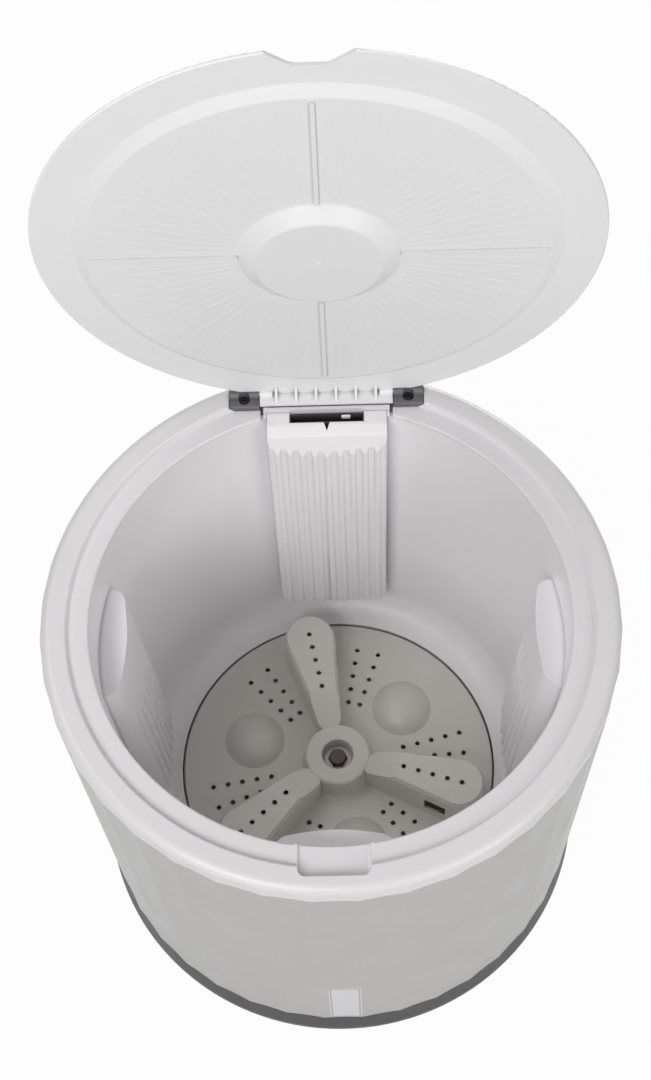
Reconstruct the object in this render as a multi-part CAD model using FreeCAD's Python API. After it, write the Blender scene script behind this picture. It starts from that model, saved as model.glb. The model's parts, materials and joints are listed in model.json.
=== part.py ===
"""Portable top-loading washing machine, built as an assembly of separate pieces.

Millimetres, +Z up, front towards -Y. The origin is on the floor, on the pulsator's axis.
The lid is drawn closed and then swung open about its pins, which is how the machine stands at rest.
"""
import FreeCAD, Part
import math
import os

V = FreeCAD.Vector
X_AXIS = V(1, 0, 0)
Y_AXIS = V(0, 1, 0)
Z_AXIS = V(0, 0, 1)

# Fits between pieces
RUN_CLEARANCE = 0.05      # radial, a shaft that turns in a bush
FIXED_CLEARANCE = 0.02    # radial, a pin, screw or shaft that stays put
SEAT_GAP = 0.3            # between curved or moulded faces that seat on each other

# Base and feet
FOOT_HEIGHT = 6.0
FOOT_RADIUS = 15.0
FOOT_STEM_RADIUS = 4.0
FOOT_STEM_LENGTH = 6.0
FOOT_INSET = 37.0
BASE_FLOOR_T = 3.0
BASE_RING_HEIGHT = 32.0
BASE_FLARE = 2.5
BASE_WALL = 3.0
UPSTAND_HEIGHT = 12.0

# Stack under the tub, from the base floor up
NUT_GAP = 3.0
NUT_HEIGHT = 5.0
NUT_FLATS = 14.0
PULLEY_WIDTH = 14.0
BRACKET_GAP = 5.0
BRACKET_T = 2.5
MOTOR_HEIGHT = 41.0
MOTOR_GAP = 4.0

# Tub
TUB_WALL = 2.5
TUB_DEPTH = 312.0         # from the pulsator's edge to the rim's top
RECESS_DEPTH = 12.0
PULSATOR_RADIUS = 139.5
DISC_GAP = 1.6
FLOOR_STEP = 2.9
FLOOR_FILLET = 26.0
TUB_FLARE = 13.0
TUB_FLANGE_WIDTH = 18.0
CENTRE_PAD_RADIUS = 46.0
CENTRE_PAD_RISE = 5.0

# Pads on the tub's wall and the duct at the back
PAD_WIDTH = 92.0
PAD_CORNER = 14.0
PAD_SAG = 6.0             # how far a face falls back at its sides
PAD_CURVE = 150.0
PAD_DEPTH_TOP = 26.0
PAD_DEPTH_LOW = 25.0
PAD_ABOVE_DISC = 42.0
PAD_BROW_DROP = 32.5
PAD_SCOOP_DROP = 10.0     # from the brow down to the tub's wall behind it
PAD_RIB_START = 100.0
PAD_FOOT_SLOPE = 12.0
PAD_OVERDRAW = 10.0       # how far a pad's end planes are drawn past its face
PAD_RIBS = 7
RIB_PITCH = 10.1
RIB_RADIUS = 2.8
RIB_PROUD = 2.2
RIB_RUNOUT = 28.0         # length over which a rib sinks into its face
RIB_SINK = 0.4
DUCT_WIDTH = 96.0
DUCT_CORNER = 4.0
DUCT_RIBS = 9
DUCT_SAG = 2.0
DUCT_DEPTH_TOP = 29.0
SHELF_LENGTH = 12.2
SHELF_SLOPE_LENGTH = 8.0
SHELF_SLOPE_DROP = 4.0
SHELF_ROUND = 4.0
DUCT_BROW_DROP = 14.2
SLOT_WIDTH = 60.0
SLOT_DEPTH = 9.8
SLOT_INSERT_HEIGHT = 9.0
SLOT_INSERT_WALL = 1.2
SLOT_INSERT_REAR = 1.2     # from the slot's open back to the insert
SLOT_NOTCH_WIDTH = 5.0
SLOT_NOTCH_LENGTH = 7.0

# Rim
RIM_HEIGHT = 18.0
LEDGE_DROP = 4.8
LEDGE_T = 2.7
LEDGE_WIDTH = 15.0
RISER_DRAFT = 2.5
BAND_WIDTH = 19.5
RIM_ROUND = 8.0
STEP_ROUND = 1.4
RISER_FOOT_ROUND = 0.8
LIP_ROUND = 1.8
RIM_WALL = 3.0
POCKET_WIDTH = 52.0
POCKET_DEPTH = 3.0
POCKET_FLOOR_ROUND = 2.2
POCKET_WALL = 2.4
POCKET_CORNER = 6.0
POCKET_INTO_BAND = 6.0

# Casing
CASE_TAPER = 5.5
CASE_WALL = 2.5
FLUTES = 40
FLUTE_DEPTH = 0.45
CASE_SCREWS = 6
CASE_SCREW_INSET = 7.5
CASE_BOSS_RADIUS = 5.5
CASE_BOSS_LENGTH = 14.0
CASE_BOSS_GAP = 2.0

# Lid and hinge
LID_T = 2.6
LID_OVERLAP = 3.2         # how far the lid lies on the band
LID_LIFT = 0.4
LID_EDGE_ROUND = 1.2
LID_FLANGE_WIDTH = 29.7
LID_SLOPE_WIDTH = 9.0
LID_PLATEAU_DROP = 5.0
LID_DISH_RADIUS = 58.0
LID_DISH_SLOPE = 12.0
LID_DISH_DROP = 9.0
LID_DISH_ROUND = 3.0
LID_BEND_OUT = 2.0
LID_BEND_IN = 1.0
LID_RIB_WIDTH = 3.2
LID_RIB_HEIGHT = 1.6
LID_NOTCH_DEPTH = 14.0
LID_NOTCH_WIDTH = 63.0
LID_NOTCH_FLOOR = 24.0
LID_NOTCH_ROUND = 14.0
LID_OPEN_DEG = 88.0
HINGE_INSET = 8.0
HINGE_RISE = 0.8
HINGE_HALF_SPAN = 54.0
HINGE_SIDE_GAP = 0.7
HINGE_PLATE_LENGTH = 11.0
HINGE_PLATE_T = 2.4
HINGE_GUSSETS = 6
GUSSET_PITCH = 16.0
GUSSET_T = 2.0
GUSSET_LEG = 8.3
KNUCKLE_RADIUS = 4.5
BARREL_LENGTH = 10.3
PIN_RADIUS = 2.5
PIN_IN_BLOCK = 7.0
BLOCK_WIDTH = 24.0
BLOCK_FRONT = 11.7
BLOCK_TOP_DROP = 1.0
BLOCK_ROUND = 1.5
TROUGH_WALL = 2.5
TROUGH_SWEEP_GAP = 0.5
LEDGE_SLIT_WIDTH = 2.6
LEDGE_SLIT_LENGTH = 6.5
TROUGH_REAR_GAP = 0.6
HINGE_SCREW_FRONT = 4.5
HINGE_SCREW_RADIUS = 1.9
HINGE_SCREW_HEAD = 4.2
HINGE_SCREW_HEAD_T = 2.5
HINGE_SCREW_SINK = 3.2

# Pulsator
DISC_T = 3.0
DISC_SKIRT = 8.0
DISC_SKIRT_T = 3.0
HUB_RADIUS = 30.0
HUB_TAPER = 1.5
HUB_RISE = 24.0
HUB_BORE_RADIUS = 14.0
HUB_BORE_DEPTH = 14.0
HUB_CORE_RADIUS = 17.0
HUB_WALL = 3.0
HUB_DROP = 4.0
HUB_ROUND = 3.0
HUB_BORE_ROUND = 1.0
DISC_EDGE_ROUND = 1.5
VANES = 3
VANE_FIRST_DEG = 102.0
VANE_RISE = 39.0
VANE_OUTER_RADIUS = 25.0
VANE_OUTER_AT = 111.6
VANE_INNER_RADIUS = 12.5
VANE_INNER_AT = 36.0
VANE_DRAFT = 2.2
VANE_CROWN = 2.2
VANE_CROWN_HEIGHT = 4.0
VANE_WALL = 2.2
VANE_RAMP_AT = 57.0       # where a vane's top starts to fall towards the hub
VANE_SLOT_AT = 86.0
VANE_SLOT_LENGTH = 20.0
VANE_SLOT_HEIGHT = 16.0
DOME_RADIUS = 27.0
DOME_RISE = 12.0
DOME_AT = 79.5
DRAIN_HOLE_RADIUS = 2.5
ROW_HOLES = 5
ROW_FIRST_AT = 61.4
ROW_LAST_AT = 114.4
ROW_OFFSETS_DEG = (-32.0, -22.0, 22.0, 32.0)

# Drive shaft, bearing housing and belt drive
SHAFT_RADIUS = 6.0
SHAFT_THREAD_RADIUS = 5.0
BUSH_T = 3.5
BUSH_LENGTH = 16.0
HOUSING_TUBE_RADIUS = 19.0
HOUSING_FLANGE_RADIUS = 44.0
HOUSING_FLANGE_T = 4.0
HOUSING_RISE = 1.0
HOUSING_BELOW = 41.5
SEAL_RADIUS = 13.0
SEAL_HEIGHT = 5.0
HOUSING_SCREWS = 4
HOUSING_SCREW_PITCH_RADIUS = 36.0
SCREW_RADIUS = 2.0
SCREW_HEAD_RADIUS = 4.0
SCREW_HEAD_T = 3.2
BOLT_FLATS = 14.7
BOLT_HEAD_T = 6.5
BOLT_RADIUS = 4.0
BOLT_LENGTH = 18.0
WASHER_RADIUS = 12.0
WASHER_T = 1.5
BELT_DRIVEN_R = 58.0      # to the middle of the belt
BELT_MOTOR_R = 12.5
BELT_HEIGHT = 6.0
BELT_TOP_WIDTH = 9.0
BELT_LOW_WIDTH = 6.0
BELT_GAP = 0.35
PULLEY_LIP = 1.0
PULLEY_HUB_RADIUS = 12.0
PULLEY_HUB_RISE = 7.0
PULLEY_WEB_T = 6.0
PULLEY_RIM_T = 6.0
PULLEY_HOLES = 5
PULLEY_HOLE_RADIUS = 11.0
MOTOR_AT = 118.0          # motor axis, to the left of the pulsator's axis

# Motor
MOTOR_RADIUS = 48.0
MOTOR_WALL = 2.0
MOTOR_FLOOR_T = 6.0
MOTOR_SHAFT_RADIUS = 4.0
MOTOR_BUSH_T = 3.0
MOTOR_BUSH_LENGTH = 6.0
MOTOR_BUSH_SEAT_T = 4.0
STATOR_BORE = 26.0
STATOR_HEIGHT = 24.0
AIR_GAP = 0.7
ROTOR_SHORTER = 2.0
MOTOR_SCREWS = 4
MOTOR_SCREW_PITCH_RADIUS = 36.0
MOTOR_VENTS = 10
MOTOR_VENT_WIDTH = 5.0
MOTOR_VENT_HEIGHT = 8.0
BRACKET_HALF_X = 62.0
BRACKET_HALF_Y = 64.0
BRACKET_CORNER = 14.0
BRACKET_HOLE = 14.0
GROMMET_X = 50.0
GROMMET_Y = 52.0
GROMMET_RADIUS = 8.0
GROMMET_NECK = 5.0
GROMMET_FLANGE = 4.0
BRACKET_BOLT_RADIUS = 2.5
BRACKET_BOLT_HEAD = 6.0
BRACKET_BOLT_DEPTH = 14.0
BOSS_RADIUS = 8.0

# Pillars between the base and the tub
PILLAR_AT = 85.0
PILLAR_RADIUS = 9.0
PILLAR_WALL = 3.0
PILLAR_CAP_T = 4.0
TUB_BOSS_LENGTH = 13.5
TUB_BOSS_RADIUS = 8.0
PILLAR_SCREW_LENGTH = 14.0

# Capacitor
CAPACITOR_AT = 130.0
CAPACITOR_RADIUS = 16.0
CAPACITOR_HEIGHT = 58.0
CAPACITOR_SEAT_WALL = 2.5
CAPACITOR_SEAT_HEIGHT = 7.0
CLAMP_T = 1.5
CLAMP_HEIGHT = 12.0
CLAMP_Z = 40.0
CLAMP_POST_Y = 32.0
CLAMP_POST_RADIUS = 6.0
CLAMP_TAB_T = 2.0

# Drain
DRAIN_X = 40.0
DRAIN_Y = 112.0
DRAIN_Z = 64.0
DRAIN_PIPE_RADIUS = 11.0
DRAIN_BORE = 8.5
DRAIN_FLANGE_RADIUS = 17.0
DRAIN_FLANGE_T = 3.0
GASKET_T = 1.5
SPIGOT_RADIUS = 10.0
SPIGOT_LENGTH = 20.0
SPIGOT_SET_BACK = 1.5
CASE_DRAIN_HOLE = 22.0

# Control tray at the back
TRAY_HALF_WIDTH = 46.0
TRAY_HEIGHT = 104.0
TRAY_Z = 160.0
TRAY_WALL = 2.5
TRAY_SET_BACK = 21.0
TRAY_FIT = 0.2
TIMER_RISE = 10.0
TIMER_RADIUS = 19.0
TIMER_DEPTH = 18.5
TIMER_EAR_AT = 25.0
TIMER_EAR_RADIUS = 5.5
TIMER_EAR_T = 4.0
TIMER_SCREW_LENGTH = 7.0
TIMER_SHAFT_RADIUS = 3.0
TIMER_SHAFT_IN = 14.0
KNOB_RADIUS = 18.0
KNOB_HEIGHT = 7.0
KNOB_GRIP_HEIGHT = 9.0
KNOB_GRIP_WIDTH = 8.0
KNOB_GAP = 0.6
KNOB_SHAFT_DEPTH = 10.0
GLAND_DROP = 34.0
GLAND_RADIUS = 6.5
GLAND_FLANGE_RADIUS = 9.5
GLAND_FLANGE_T = 2.5
GLAND_LENGTH = 12.0
GLAND_BORE = 3.8
HARNESS_RADIUS = 3.0
HARNESS_SIDE = 14.0
HARNESS_BEND = 18.0
HARNESS_REACH = 90.0

# Heights that follow from the stack
BASE_FLOOR_Z = FOOT_HEIGHT + BASE_FLOOR_T
SHAFT_END_Z = BASE_FLOOR_Z + NUT_GAP
PULLEY_Z = SHAFT_END_Z + NUT_HEIGHT
PULLEY_TOP_Z = PULLEY_Z + PULLEY_WIDTH
BELT_Z = PULLEY_Z + PULLEY_WIDTH / 2
BRACKET_Z = PULLEY_TOP_Z + BRACKET_GAP
MOTOR_Z = BRACKET_Z + BRACKET_T
MOTOR_TOP_Z = MOTOR_Z + MOTOR_HEIGHT
MOTOR_SPLIT_Z = MOTOR_Z + MOTOR_HEIGHT / 2
TUB_BASE_Z = MOTOR_TOP_Z + MOTOR_GAP
RECESS_Z = TUB_BASE_Z + TUB_WALL
CENTRE_PAD_Z = RECESS_Z + CENTRE_PAD_RISE
DISC_Z = RECESS_Z + RECESS_DEPTH
DISC_LOW_Z = DISC_Z - DISC_T
RIM_TOP_Z = DISC_Z + TUB_DEPTH
RIM_LOW_Z = RIM_TOP_Z - RIM_HEIGHT
LEDGE_Z = RIM_TOP_Z - LEDGE_DROP
TUB_TOP_Z = LEDGE_Z - LEDGE_T
SHELF_Z = LEDGE_Z
CASE_LOW_Z = FOOT_HEIGHT + BASE_RING_HEIGHT
PAD_LOW_Z = DISC_Z + PAD_ABOVE_DISC
LID_Z = RIM_TOP_Z + LID_LIFT
HINGE_Z = RIM_TOP_Z + HINGE_RISE
TROUGH_Z = HINGE_Z - HINGE_PLATE_LENGTH - TROUGH_SWEEP_GAP
BLOCK_TOP_Z = HINGE_Z - BLOCK_TOP_DROP
TIMER_Z = TRAY_Z + TIMER_RISE
GLAND_Z = TIMER_Z - GLAND_DROP - TIMER_RISE / 2

# Radii that follow from the pulsator outwards
RECESS_RADIUS = PULSATOR_RADIUS + DISC_GAP
FILLET_FOOT_RADIUS = RECESS_RADIUS + FLOOR_STEP
TUB_FOOT_RADIUS = FILLET_FOOT_RADIUS + FLOOR_FILLET
MOUTH_RADIUS = TUB_FOOT_RADIUS + TUB_FLARE
STEP_RADIUS = MOUTH_RADIUS + LEDGE_WIDTH
BAND_RADIUS = STEP_RADIUS + RISER_DRAFT
RIM_RADIUS = BAND_RADIUS + BAND_WIDTH
CASE_LOW_RADIUS = RIM_RADIUS - CASE_TAPER
CASE_INNER_LOW = (CASE_LOW_RADIUS - CASE_WALL) * math.cos(math.pi / FLUTES) - FLUTE_DEPTH
BASE_RADIUS = CASE_LOW_RADIUS + BASE_FLARE
CASE_SCREW_PITCH_RADIUS = CASE_INNER_LOW - CASE_SCREW_INSET
LID_RADIUS = BAND_RADIUS + LID_OVERLAP
HINGE_Y = LID_RADIUS - HINGE_INSET
TROUGH_FRONT_Y = HINGE_Y - HINGE_PLATE_LENGTH - TROUGH_SWEEP_GAP * 2
TROUGH_REAR_Y = HINGE_Y + KNUCKLE_RADIUS + TROUGH_REAR_GAP
TROUGH_HALF_X = HINGE_HALF_SPAN + BLOCK_WIDTH + TROUGH_REAR_GAP
TONGUE_HALF_X = HINGE_HALF_SPAN - HINGE_SIDE_GAP
TRAY_FACE_Y = RIM_RADIUS - TRAY_SET_BACK
MOTOR_CENTRE = V(-MOTOR_AT, 0, 0)


def arc_corner(before, corner, after, radius):
    """Tangent points and middle point of the arc that rounds one corner."""
    to_before = (before - corner).normalize()
    to_after = (after - corner).normalize()
    half = to_before.getAngle(to_after) / 2
    reach = radius / math.tan(half)
    bisector = (to_before + to_after).normalize()
    centre = corner + bisector * (radius / math.sin(half))
    return corner + to_before * reach, centre - bisector * radius, corner + to_after * reach


def rounded_wire(points):
    """Closed wire through (point, corner radius) pairs, with each corner rounded by its radius."""
    count = len(points)
    starts = []
    ends = []
    edges = []
    for i in range(count):
        corner, radius = points[i]
        if radius > 0:
            first, middle, last = arc_corner(points[i - 1][0], corner, points[(i + 1) % count][0], radius)
            edges.append(Part.Arc(first, middle, last).toShape())
        else:
            first = last = corner
        starts.append(first)
        ends.append(last)
    for i in range(count):
        nxt = starts[(i + 1) % count]
        if ends[i].distanceToPoint(nxt) > 1e-6:
            edges.append(Part.makeLine(ends[i], nxt))
    return Part.Wire(Part.__sortEdges__(edges))


def profile_face(points, place):
    """Face from (a, b, corner radius) points that place(a, b) puts in space."""
    return Part.Face(rounded_wire([(place(a, b), radius) for a, b, radius in points]))


def turned(points):
    """Solid of revolution about Z from (radius, height, corner radius) points."""
    face = profile_face(points, lambda r, z: V(r, 0, z))
    return face.revolve(V(0, 0, 0), Z_AXIS, 360)


def prism_x(points, x0, x1):
    """Prism along X from (y, z, corner radius) points."""
    return profile_face(points, lambda y, z: V(x0, y, z)).extrude(V(x1 - x0, 0, 0))


def prism_z(points, z0, z1):
    """Prism along Z from (x, y, corner radius) points."""
    return profile_face(points, lambda x, y: V(x, y, z0)).extrude(V(0, 0, z1 - z0))


def box(x0, x1, y0, y1, z0, z1):
    """Box between two corners."""
    return Part.makeBox(x1 - x0, y1 - y0, z1 - z0, V(x0, y0, z0))


def rod(radius, z0, z1, at=V(0, 0, 0)):
    """Upright cylinder."""
    return Part.makeCylinder(radius, z1 - z0, V(at.x, at.y, z0), Z_AXIS)


def rod_x(radius, x0, x1, y, z):
    """Cylinder along X."""
    return Part.makeCylinder(radius, x1 - x0, V(x0, y, z), X_AXIS)


def rod_y(radius, y0, y1, x, z):
    """Cylinder along Y."""
    return Part.makeCylinder(radius, y1 - y0, V(x, y0, z), Y_AXIS)


def ring(outer, inner, z0, z1, at=V(0, 0, 0)):
    """Upright tube."""
    return rod(outer, z0, z1, at).cut(rod(inner, z0, z1, at))


def hexagon(flats, z0, z1):
    """Upright hexagonal bar on the Z axis."""
    corner = flats / math.sqrt(3)
    points = [polar(corner, 60 * i, z0) for i in range(6)]
    return Part.Face(Part.makePolygon(points + points[:1])).extrude(V(0, 0, z1 - z0))


def polar(radius, degrees, z=0.0):
    """Point at a radius and an angle from +X."""
    angle = math.radians(degrees)
    return V(radius * math.cos(angle), radius * math.sin(angle), z)


def spun(shape, degrees):
    """Copy of a shape turned about the Z axis."""
    copy = shape.copy()
    copy.rotate(V(0, 0, 0), Z_AXIS, degrees)
    return copy


def mirrored_x(shape):
    """Copy of a shape mirrored from left to right."""
    return shape.mirror(V(0, 0, 0), X_AXIS)


def screw(radius, length, head_radius, head_t):
    """Pan-head screw pointing up, its head's seat at the origin, with a cross recess below."""
    head = Part.makeCone(head_radius * 0.8, head_radius, head_t, V(0, 0, -head_t), Z_AXIS)
    slot_half = head_radius * 0.12
    slot_reach = head_radius * 0.55
    slot_depth = head_t * 0.5
    cross = box(-slot_reach, slot_reach, -slot_half, slot_half, -head_t, slot_depth - head_t)
    cross = cross.fuse(box(-slot_half, slot_half, -slot_reach, slot_reach, -head_t, slot_depth - head_t))
    return head.fuse(rod(radius, 0, length)).cut(cross).removeSplitter()


def placed(shape, at, axis=Z_AXIS):
    """Copy of a shape drawn along +Z, moved to a point and pointed along an axis."""
    copy = shape.copy()
    copy.Placement = FreeCAD.Placement(at, FreeCAD.Rotation(Z_AXIS, axis))
    return copy


def bolt_places(count, circle, first=45.0):
    """Points evenly spaced on a circle."""
    return [polar(circle, first + 360.0 * i / count) for i in range(count)]


def pillar_places():
    """Where the four pillars stand between the base and the tub."""
    return bolt_places(4, PILLAR_AT * math.sqrt(2))


def grommet_places():
    """Where the motor bracket stands on the base."""
    return [MOTOR_CENTRE + V(sx * GROMMET_X, sy * GROMMET_Y, 0) for sx in (-1, 1) for sy in (-1, 1)]


def case_screw_places():
    """Where the casing is screwed to the base."""
    return bolt_places(CASE_SCREWS, CASE_SCREW_PITCH_RADIUS, 30.0)


def tub_inner_points(inset):
    """Tub's inner outline from the mouth down to the recess, drawn in by an inset."""
    return [
        (MOUTH_RADIUS - inset, TUB_TOP_Z, 0),
        (TUB_FOOT_RADIUS - inset, DISC_Z + FLOOR_FILLET, 0),
    ]


def tub_cavity(inset):
    """Conical space inside the tub above its floor fillet."""
    (top_r, top_z, _), (low_r, low_z, _) = tub_inner_points(inset)
    return turned([(0, low_z, 0), (low_r, low_z, 0), (top_r, top_z, 0), (0, top_z, 0)])


def beyond(start, end, more):
    """Point past the end of a line in the plane by some distance."""
    length = math.hypot(end[0] - start[0], end[1] - start[1])
    return end[0] + (end[0] - start[0]) * more / length, end[1] + (end[1] - start[1]) * more / length


def pad_brow_z():
    """Height of a pad's upper edge."""
    return TUB_TOP_Z - PAD_BROW_DROP


def face_low_y():
    """Distance from the axis to the lower end of a pad's or the duct's face."""
    return TUB_FOOT_RADIUS - PAD_DEPTH_LOW


def face_line(top):
    """Lowest point of a face on the +Y side, the way up along it to its top and the way out from it."""
    low = V(0, face_low_y(), PAD_LOW_Z)
    up = (V(0, top[0], top[1]) - low).normalize()
    return low, up, V(0, up.z, -up.y)


def face_recess(across, width, sag):
    """How far a face has fallen back at some distance from its middle."""
    lean = math.atan2(sag, width / 2)
    if abs(across) < PAD_CURVE * math.sin(lean):
        return PAD_CURVE / math.cos(lean) - math.sqrt(PAD_CURVE ** 2 - across ** 2)
    return abs(across) * math.tan(lean)


def face_bar(top, width, sag, corner, inset):
    """Endless bar behind a gently bulging face, drawn in by an inset."""
    low, up, out = face_line(top)
    start = low - up * width
    half = width / 2 - inset
    section = [
        (0, inset, PAD_CURVE - inset),
        (half, sag + inset, corner - inset),
        (half, width, 0),
        (-half, width, 0),
        (-half, sag + inset, corner - inset),
    ]
    face = profile_face(section, lambda across, depth: start + X_AXIS * across + out * depth)
    return face.extrude(up * (TUB_DEPTH + width))


def face_ribs(top, width, sag, count, length):
    """Upright ribs on a face, whose upper ends are sloped off until they sink into it."""
    low, up, out = face_line(top)
    bend = up * length - out * RIB_PROUD
    end = up * (length + RIB_RUNOUT) + out * RIB_SINK
    ribs = []
    for i in range(count):
        across = (i - (count - 1) / 2) * RIB_PITCH
        middle = low + X_AXIS * across + out * face_recess(across, width, sag)
        foot = middle + out * (RIB_RADIUS - RIB_PROUD)
        rib = Part.makeCylinder(RIB_RADIUS, length + RIB_RUNOUT, foot, up)
        side = X_AXIS * RIB_PITCH
        first = middle - side / 2
        outline = [first + bend, first + end, first + end + up * RIB_RADIUS, first + end - out * RIB_RUNOUT]
        ribs.append(rib.cut(Part.Face(Part.makePolygon(outline, True)).extrude(side)))
    return ribs


def pad_top():
    """Distance from the axis and height of the middle of a pad's upper edge."""
    return MOUTH_RADIUS - PAD_DEPTH_TOP, pad_brow_z()


def pad_block(inset, reach, ribs):
    """Pad on the +Y side with a scooped top, drawn in by an inset, reaching out past the wall."""
    top_y, top_z = pad_top()
    fall = PAD_SCOOP_DROP / (MOUTH_RADIUS - top_y)
    brow = (top_y, top_z - inset * math.hypot(1, fall))
    back = MOUTH_RADIUS + reach
    scoop = (back, brow[1] - (back - top_y) * fall)
    foot = (TUB_FOOT_RADIUS + reach, PAD_LOW_Z + inset - PAD_FOOT_SLOPE)
    outline = [
        scoop,
        beyond(scoop, brow, PAD_OVERDRAW),
        beyond(foot, (face_low_y(), PAD_LOW_Z + inset), PAD_OVERDRAW),
        foot,
    ]
    ends = prism_x([(y, z, 0) for y, z in outline], -PAD_WIDTH, PAD_WIDTH)
    return face_bar(pad_top(), PAD_WIDTH, PAD_SAG, PAD_CORNER, inset).fuse(ribs).common(ends)


def make_tub():
    """Conical tub with its flange, three hollow ribbed pads and the recess for the pulsator."""
    fillet_z = DISC_Z + FLOOR_FILLET
    outer_fillet = FLOOR_FILLET + TUB_WALL
    hole = HOUSING_TUBE_RADIUS + SEAT_GAP
    slope = math.atan2(TUB_FLARE, TUB_TOP_Z - fillet_z)
    corner_outer = (FILLET_FOOT_RADIUS + outer_fillet, DISC_Z - TUB_WALL)
    shell = turned([
        (hole, TUB_BASE_Z, 0),
        (RECESS_RADIUS + TUB_WALL, TUB_BASE_Z, 0),
        (RECESS_RADIUS + TUB_WALL, DISC_Z - TUB_WALL, 0),
        (corner_outer[0], corner_outer[1], outer_fillet * 0.95),
        (MOUTH_RADIUS + TUB_WALL - TUB_WALL * math.tan(slope), TUB_TOP_Z - TUB_WALL, 0),
        (MOUTH_RADIUS + TUB_FLANGE_WIDTH, TUB_TOP_Z - TUB_WALL, 0),
        (MOUTH_RADIUS + TUB_FLANGE_WIDTH, TUB_TOP_Z, 0),
        (MOUTH_RADIUS, TUB_TOP_Z, 0),
        (TUB_FOOT_RADIUS, DISC_Z, FLOOR_FILLET * 0.95),
        (RECESS_RADIUS, DISC_Z, 0),
        (RECESS_RADIUS, RECESS_Z, 0),
        (CENTRE_PAD_RADIUS, RECESS_Z, 0),
        (CENTRE_PAD_RADIUS, CENTRE_PAD_Z, 0),
        (hole, CENTRE_PAD_Z, 0),
    ])
    outside = tub_cavity(-TUB_WALL / 2)
    rib_length = pad_brow_z() - PAD_RIB_START - PAD_LOW_Z
    ribs = face_ribs(pad_top(), PAD_WIDTH, PAD_SAG, PAD_RIBS, rib_length)
    solid_pad = pad_block(0, TUB_WALL, ribs).common(outside)
    hollow = pad_block(TUB_WALL, TUB_FLANGE_WIDTH * 2, [])
    turns = (90, 180, 270)
    tub = shell.fuse([spun(solid_pad, a) for a in turns])
    tub = tub.cut([spun(hollow, a) for a in turns])
    low = TUB_BASE_Z - TUB_BOSS_LENGTH
    tub = tub.fuse([rod(TUB_BOSS_RADIUS, low, TUB_BASE_Z, p) for p in pillar_places()])
    screw_top = CENTRE_PAD_Z - TUB_WALL
    holes = [rod(SCREW_RADIUS + FIXED_CLEARANCE, TUB_BASE_Z, screw_top, p) for p in housing_screw_places()]
    reach = PILLAR_SCREW_LENGTH - PILLAR_CAP_T
    for p in pillar_places():
        holes.append(rod(SCREW_RADIUS + FIXED_CLEARANCE, low, low + reach, p))
    holes.append(rod(DRAIN_BORE, TUB_BASE_Z, RECESS_Z, V(DRAIN_X, DRAIN_Y, 0)))
    holes.append(trough_block(SEAT_GAP))
    holes.append(pocket_block(SEAT_GAP, LEDGE_Z))
    return tub.cut(holes).removeSplitter()


def make_rear_duct_cover():
    """Ribbed duct cover at the back of the tub with a shelf level with the ledge, a slot and an open back."""
    neck = rod(MOUTH_RADIUS - SEAT_GAP, TUB_TOP_Z, LEDGE_Z)
    within = tub_cavity(SEAT_GAP).fuse([neck, shelf_room(0, TUB_TOP_Z + SEAT_GAP)])
    ribs = face_ribs(duct_top(), DUCT_WIDTH, DUCT_SAG, DUCT_RIBS, SHELF_Z - PAD_LOW_Z)
    cover = duct_block(0, 0, ribs).common(within).cut(duct_block(TUB_WALL, DUCT_DEPTH_TOP, []))
    slot = slot_span()
    cut = box(slot[0], slot[1], slot[2], slot[3], duct_top()[1], SHELF_Z)
    notch_half = SLOT_NOTCH_WIDTH / 2
    front = slot[2]
    notch = prism_z([(-notch_half, front, 0), (0, front - SLOT_NOTCH_LENGTH, 0), (notch_half, front, 0)],
                    SHELF_Z - TUB_WALL * 2, SHELF_Z)
    return cover.cut([cut, notch]).removeSplitter()


def duct_top():
    """Distance from the axis and height of the middle of the duct's brow."""
    return MOUTH_RADIUS - DUCT_DEPTH_TOP, SHELF_Z - SHELF_SLOPE_DROP - DUCT_BROW_DROP


def duct_back_y():
    """Rear of the duct cover, just in front of the hinge trough."""
    return TROUGH_FRONT_Y - TROUGH_WALL - SEAT_GAP


def shelf_room(grow, low_z):
    """Space that the duct's shelf takes up between the ledge's ends."""
    half = DUCT_WIDTH / 2 + grow
    return box(-half, half, 0, duct_back_y() + grow, low_z, LEDGE_Z)


def duct_block(inset, reach, ribs):
    """Solid shape of the duct, drawn in by an inset, its back moved out by a reach."""
    brow_y, brow_z = duct_top()
    back = duct_back_y() + reach
    shelf_front = duct_back_y() - SHELF_LENGTH
    top_z = SHELF_Z - inset
    slope_end = (shelf_front - SHELF_SLOPE_LENGTH + inset * 0.7, top_z - SHELF_SLOPE_DROP)
    brow = beyond(slope_end, (brow_y + inset, brow_z - inset * 0.4), PAD_OVERDRAW)
    foot = (back, PAD_LOW_Z + inset - PAD_FOOT_SLOPE)
    toe = beyond(foot, (face_low_y() + inset, PAD_LOW_Z + inset), PAD_OVERDRAW)
    ends = prism_x([
        (back, top_z, 0),
        (shelf_front + inset * 0.4, top_z, SHELF_ROUND),
        (slope_end[0], slope_end[1], SHELF_ROUND),
        (brow[0], brow[1], 0),
        (toe[0], toe[1], 0),
        (foot[0], foot[1], 0),
    ], -DUCT_WIDTH, DUCT_WIDTH)
    return face_bar(duct_top(), DUCT_WIDTH, DUCT_SAG, DUCT_CORNER, inset).fuse(ribs).common(ends)


def slot_span():
    """X and Y span of the slot on the duct's shelf, open to the back."""
    rear = duct_back_y()
    return -SLOT_WIDTH / 2, SLOT_WIDTH / 2, rear - SLOT_DEPTH, rear


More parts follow.
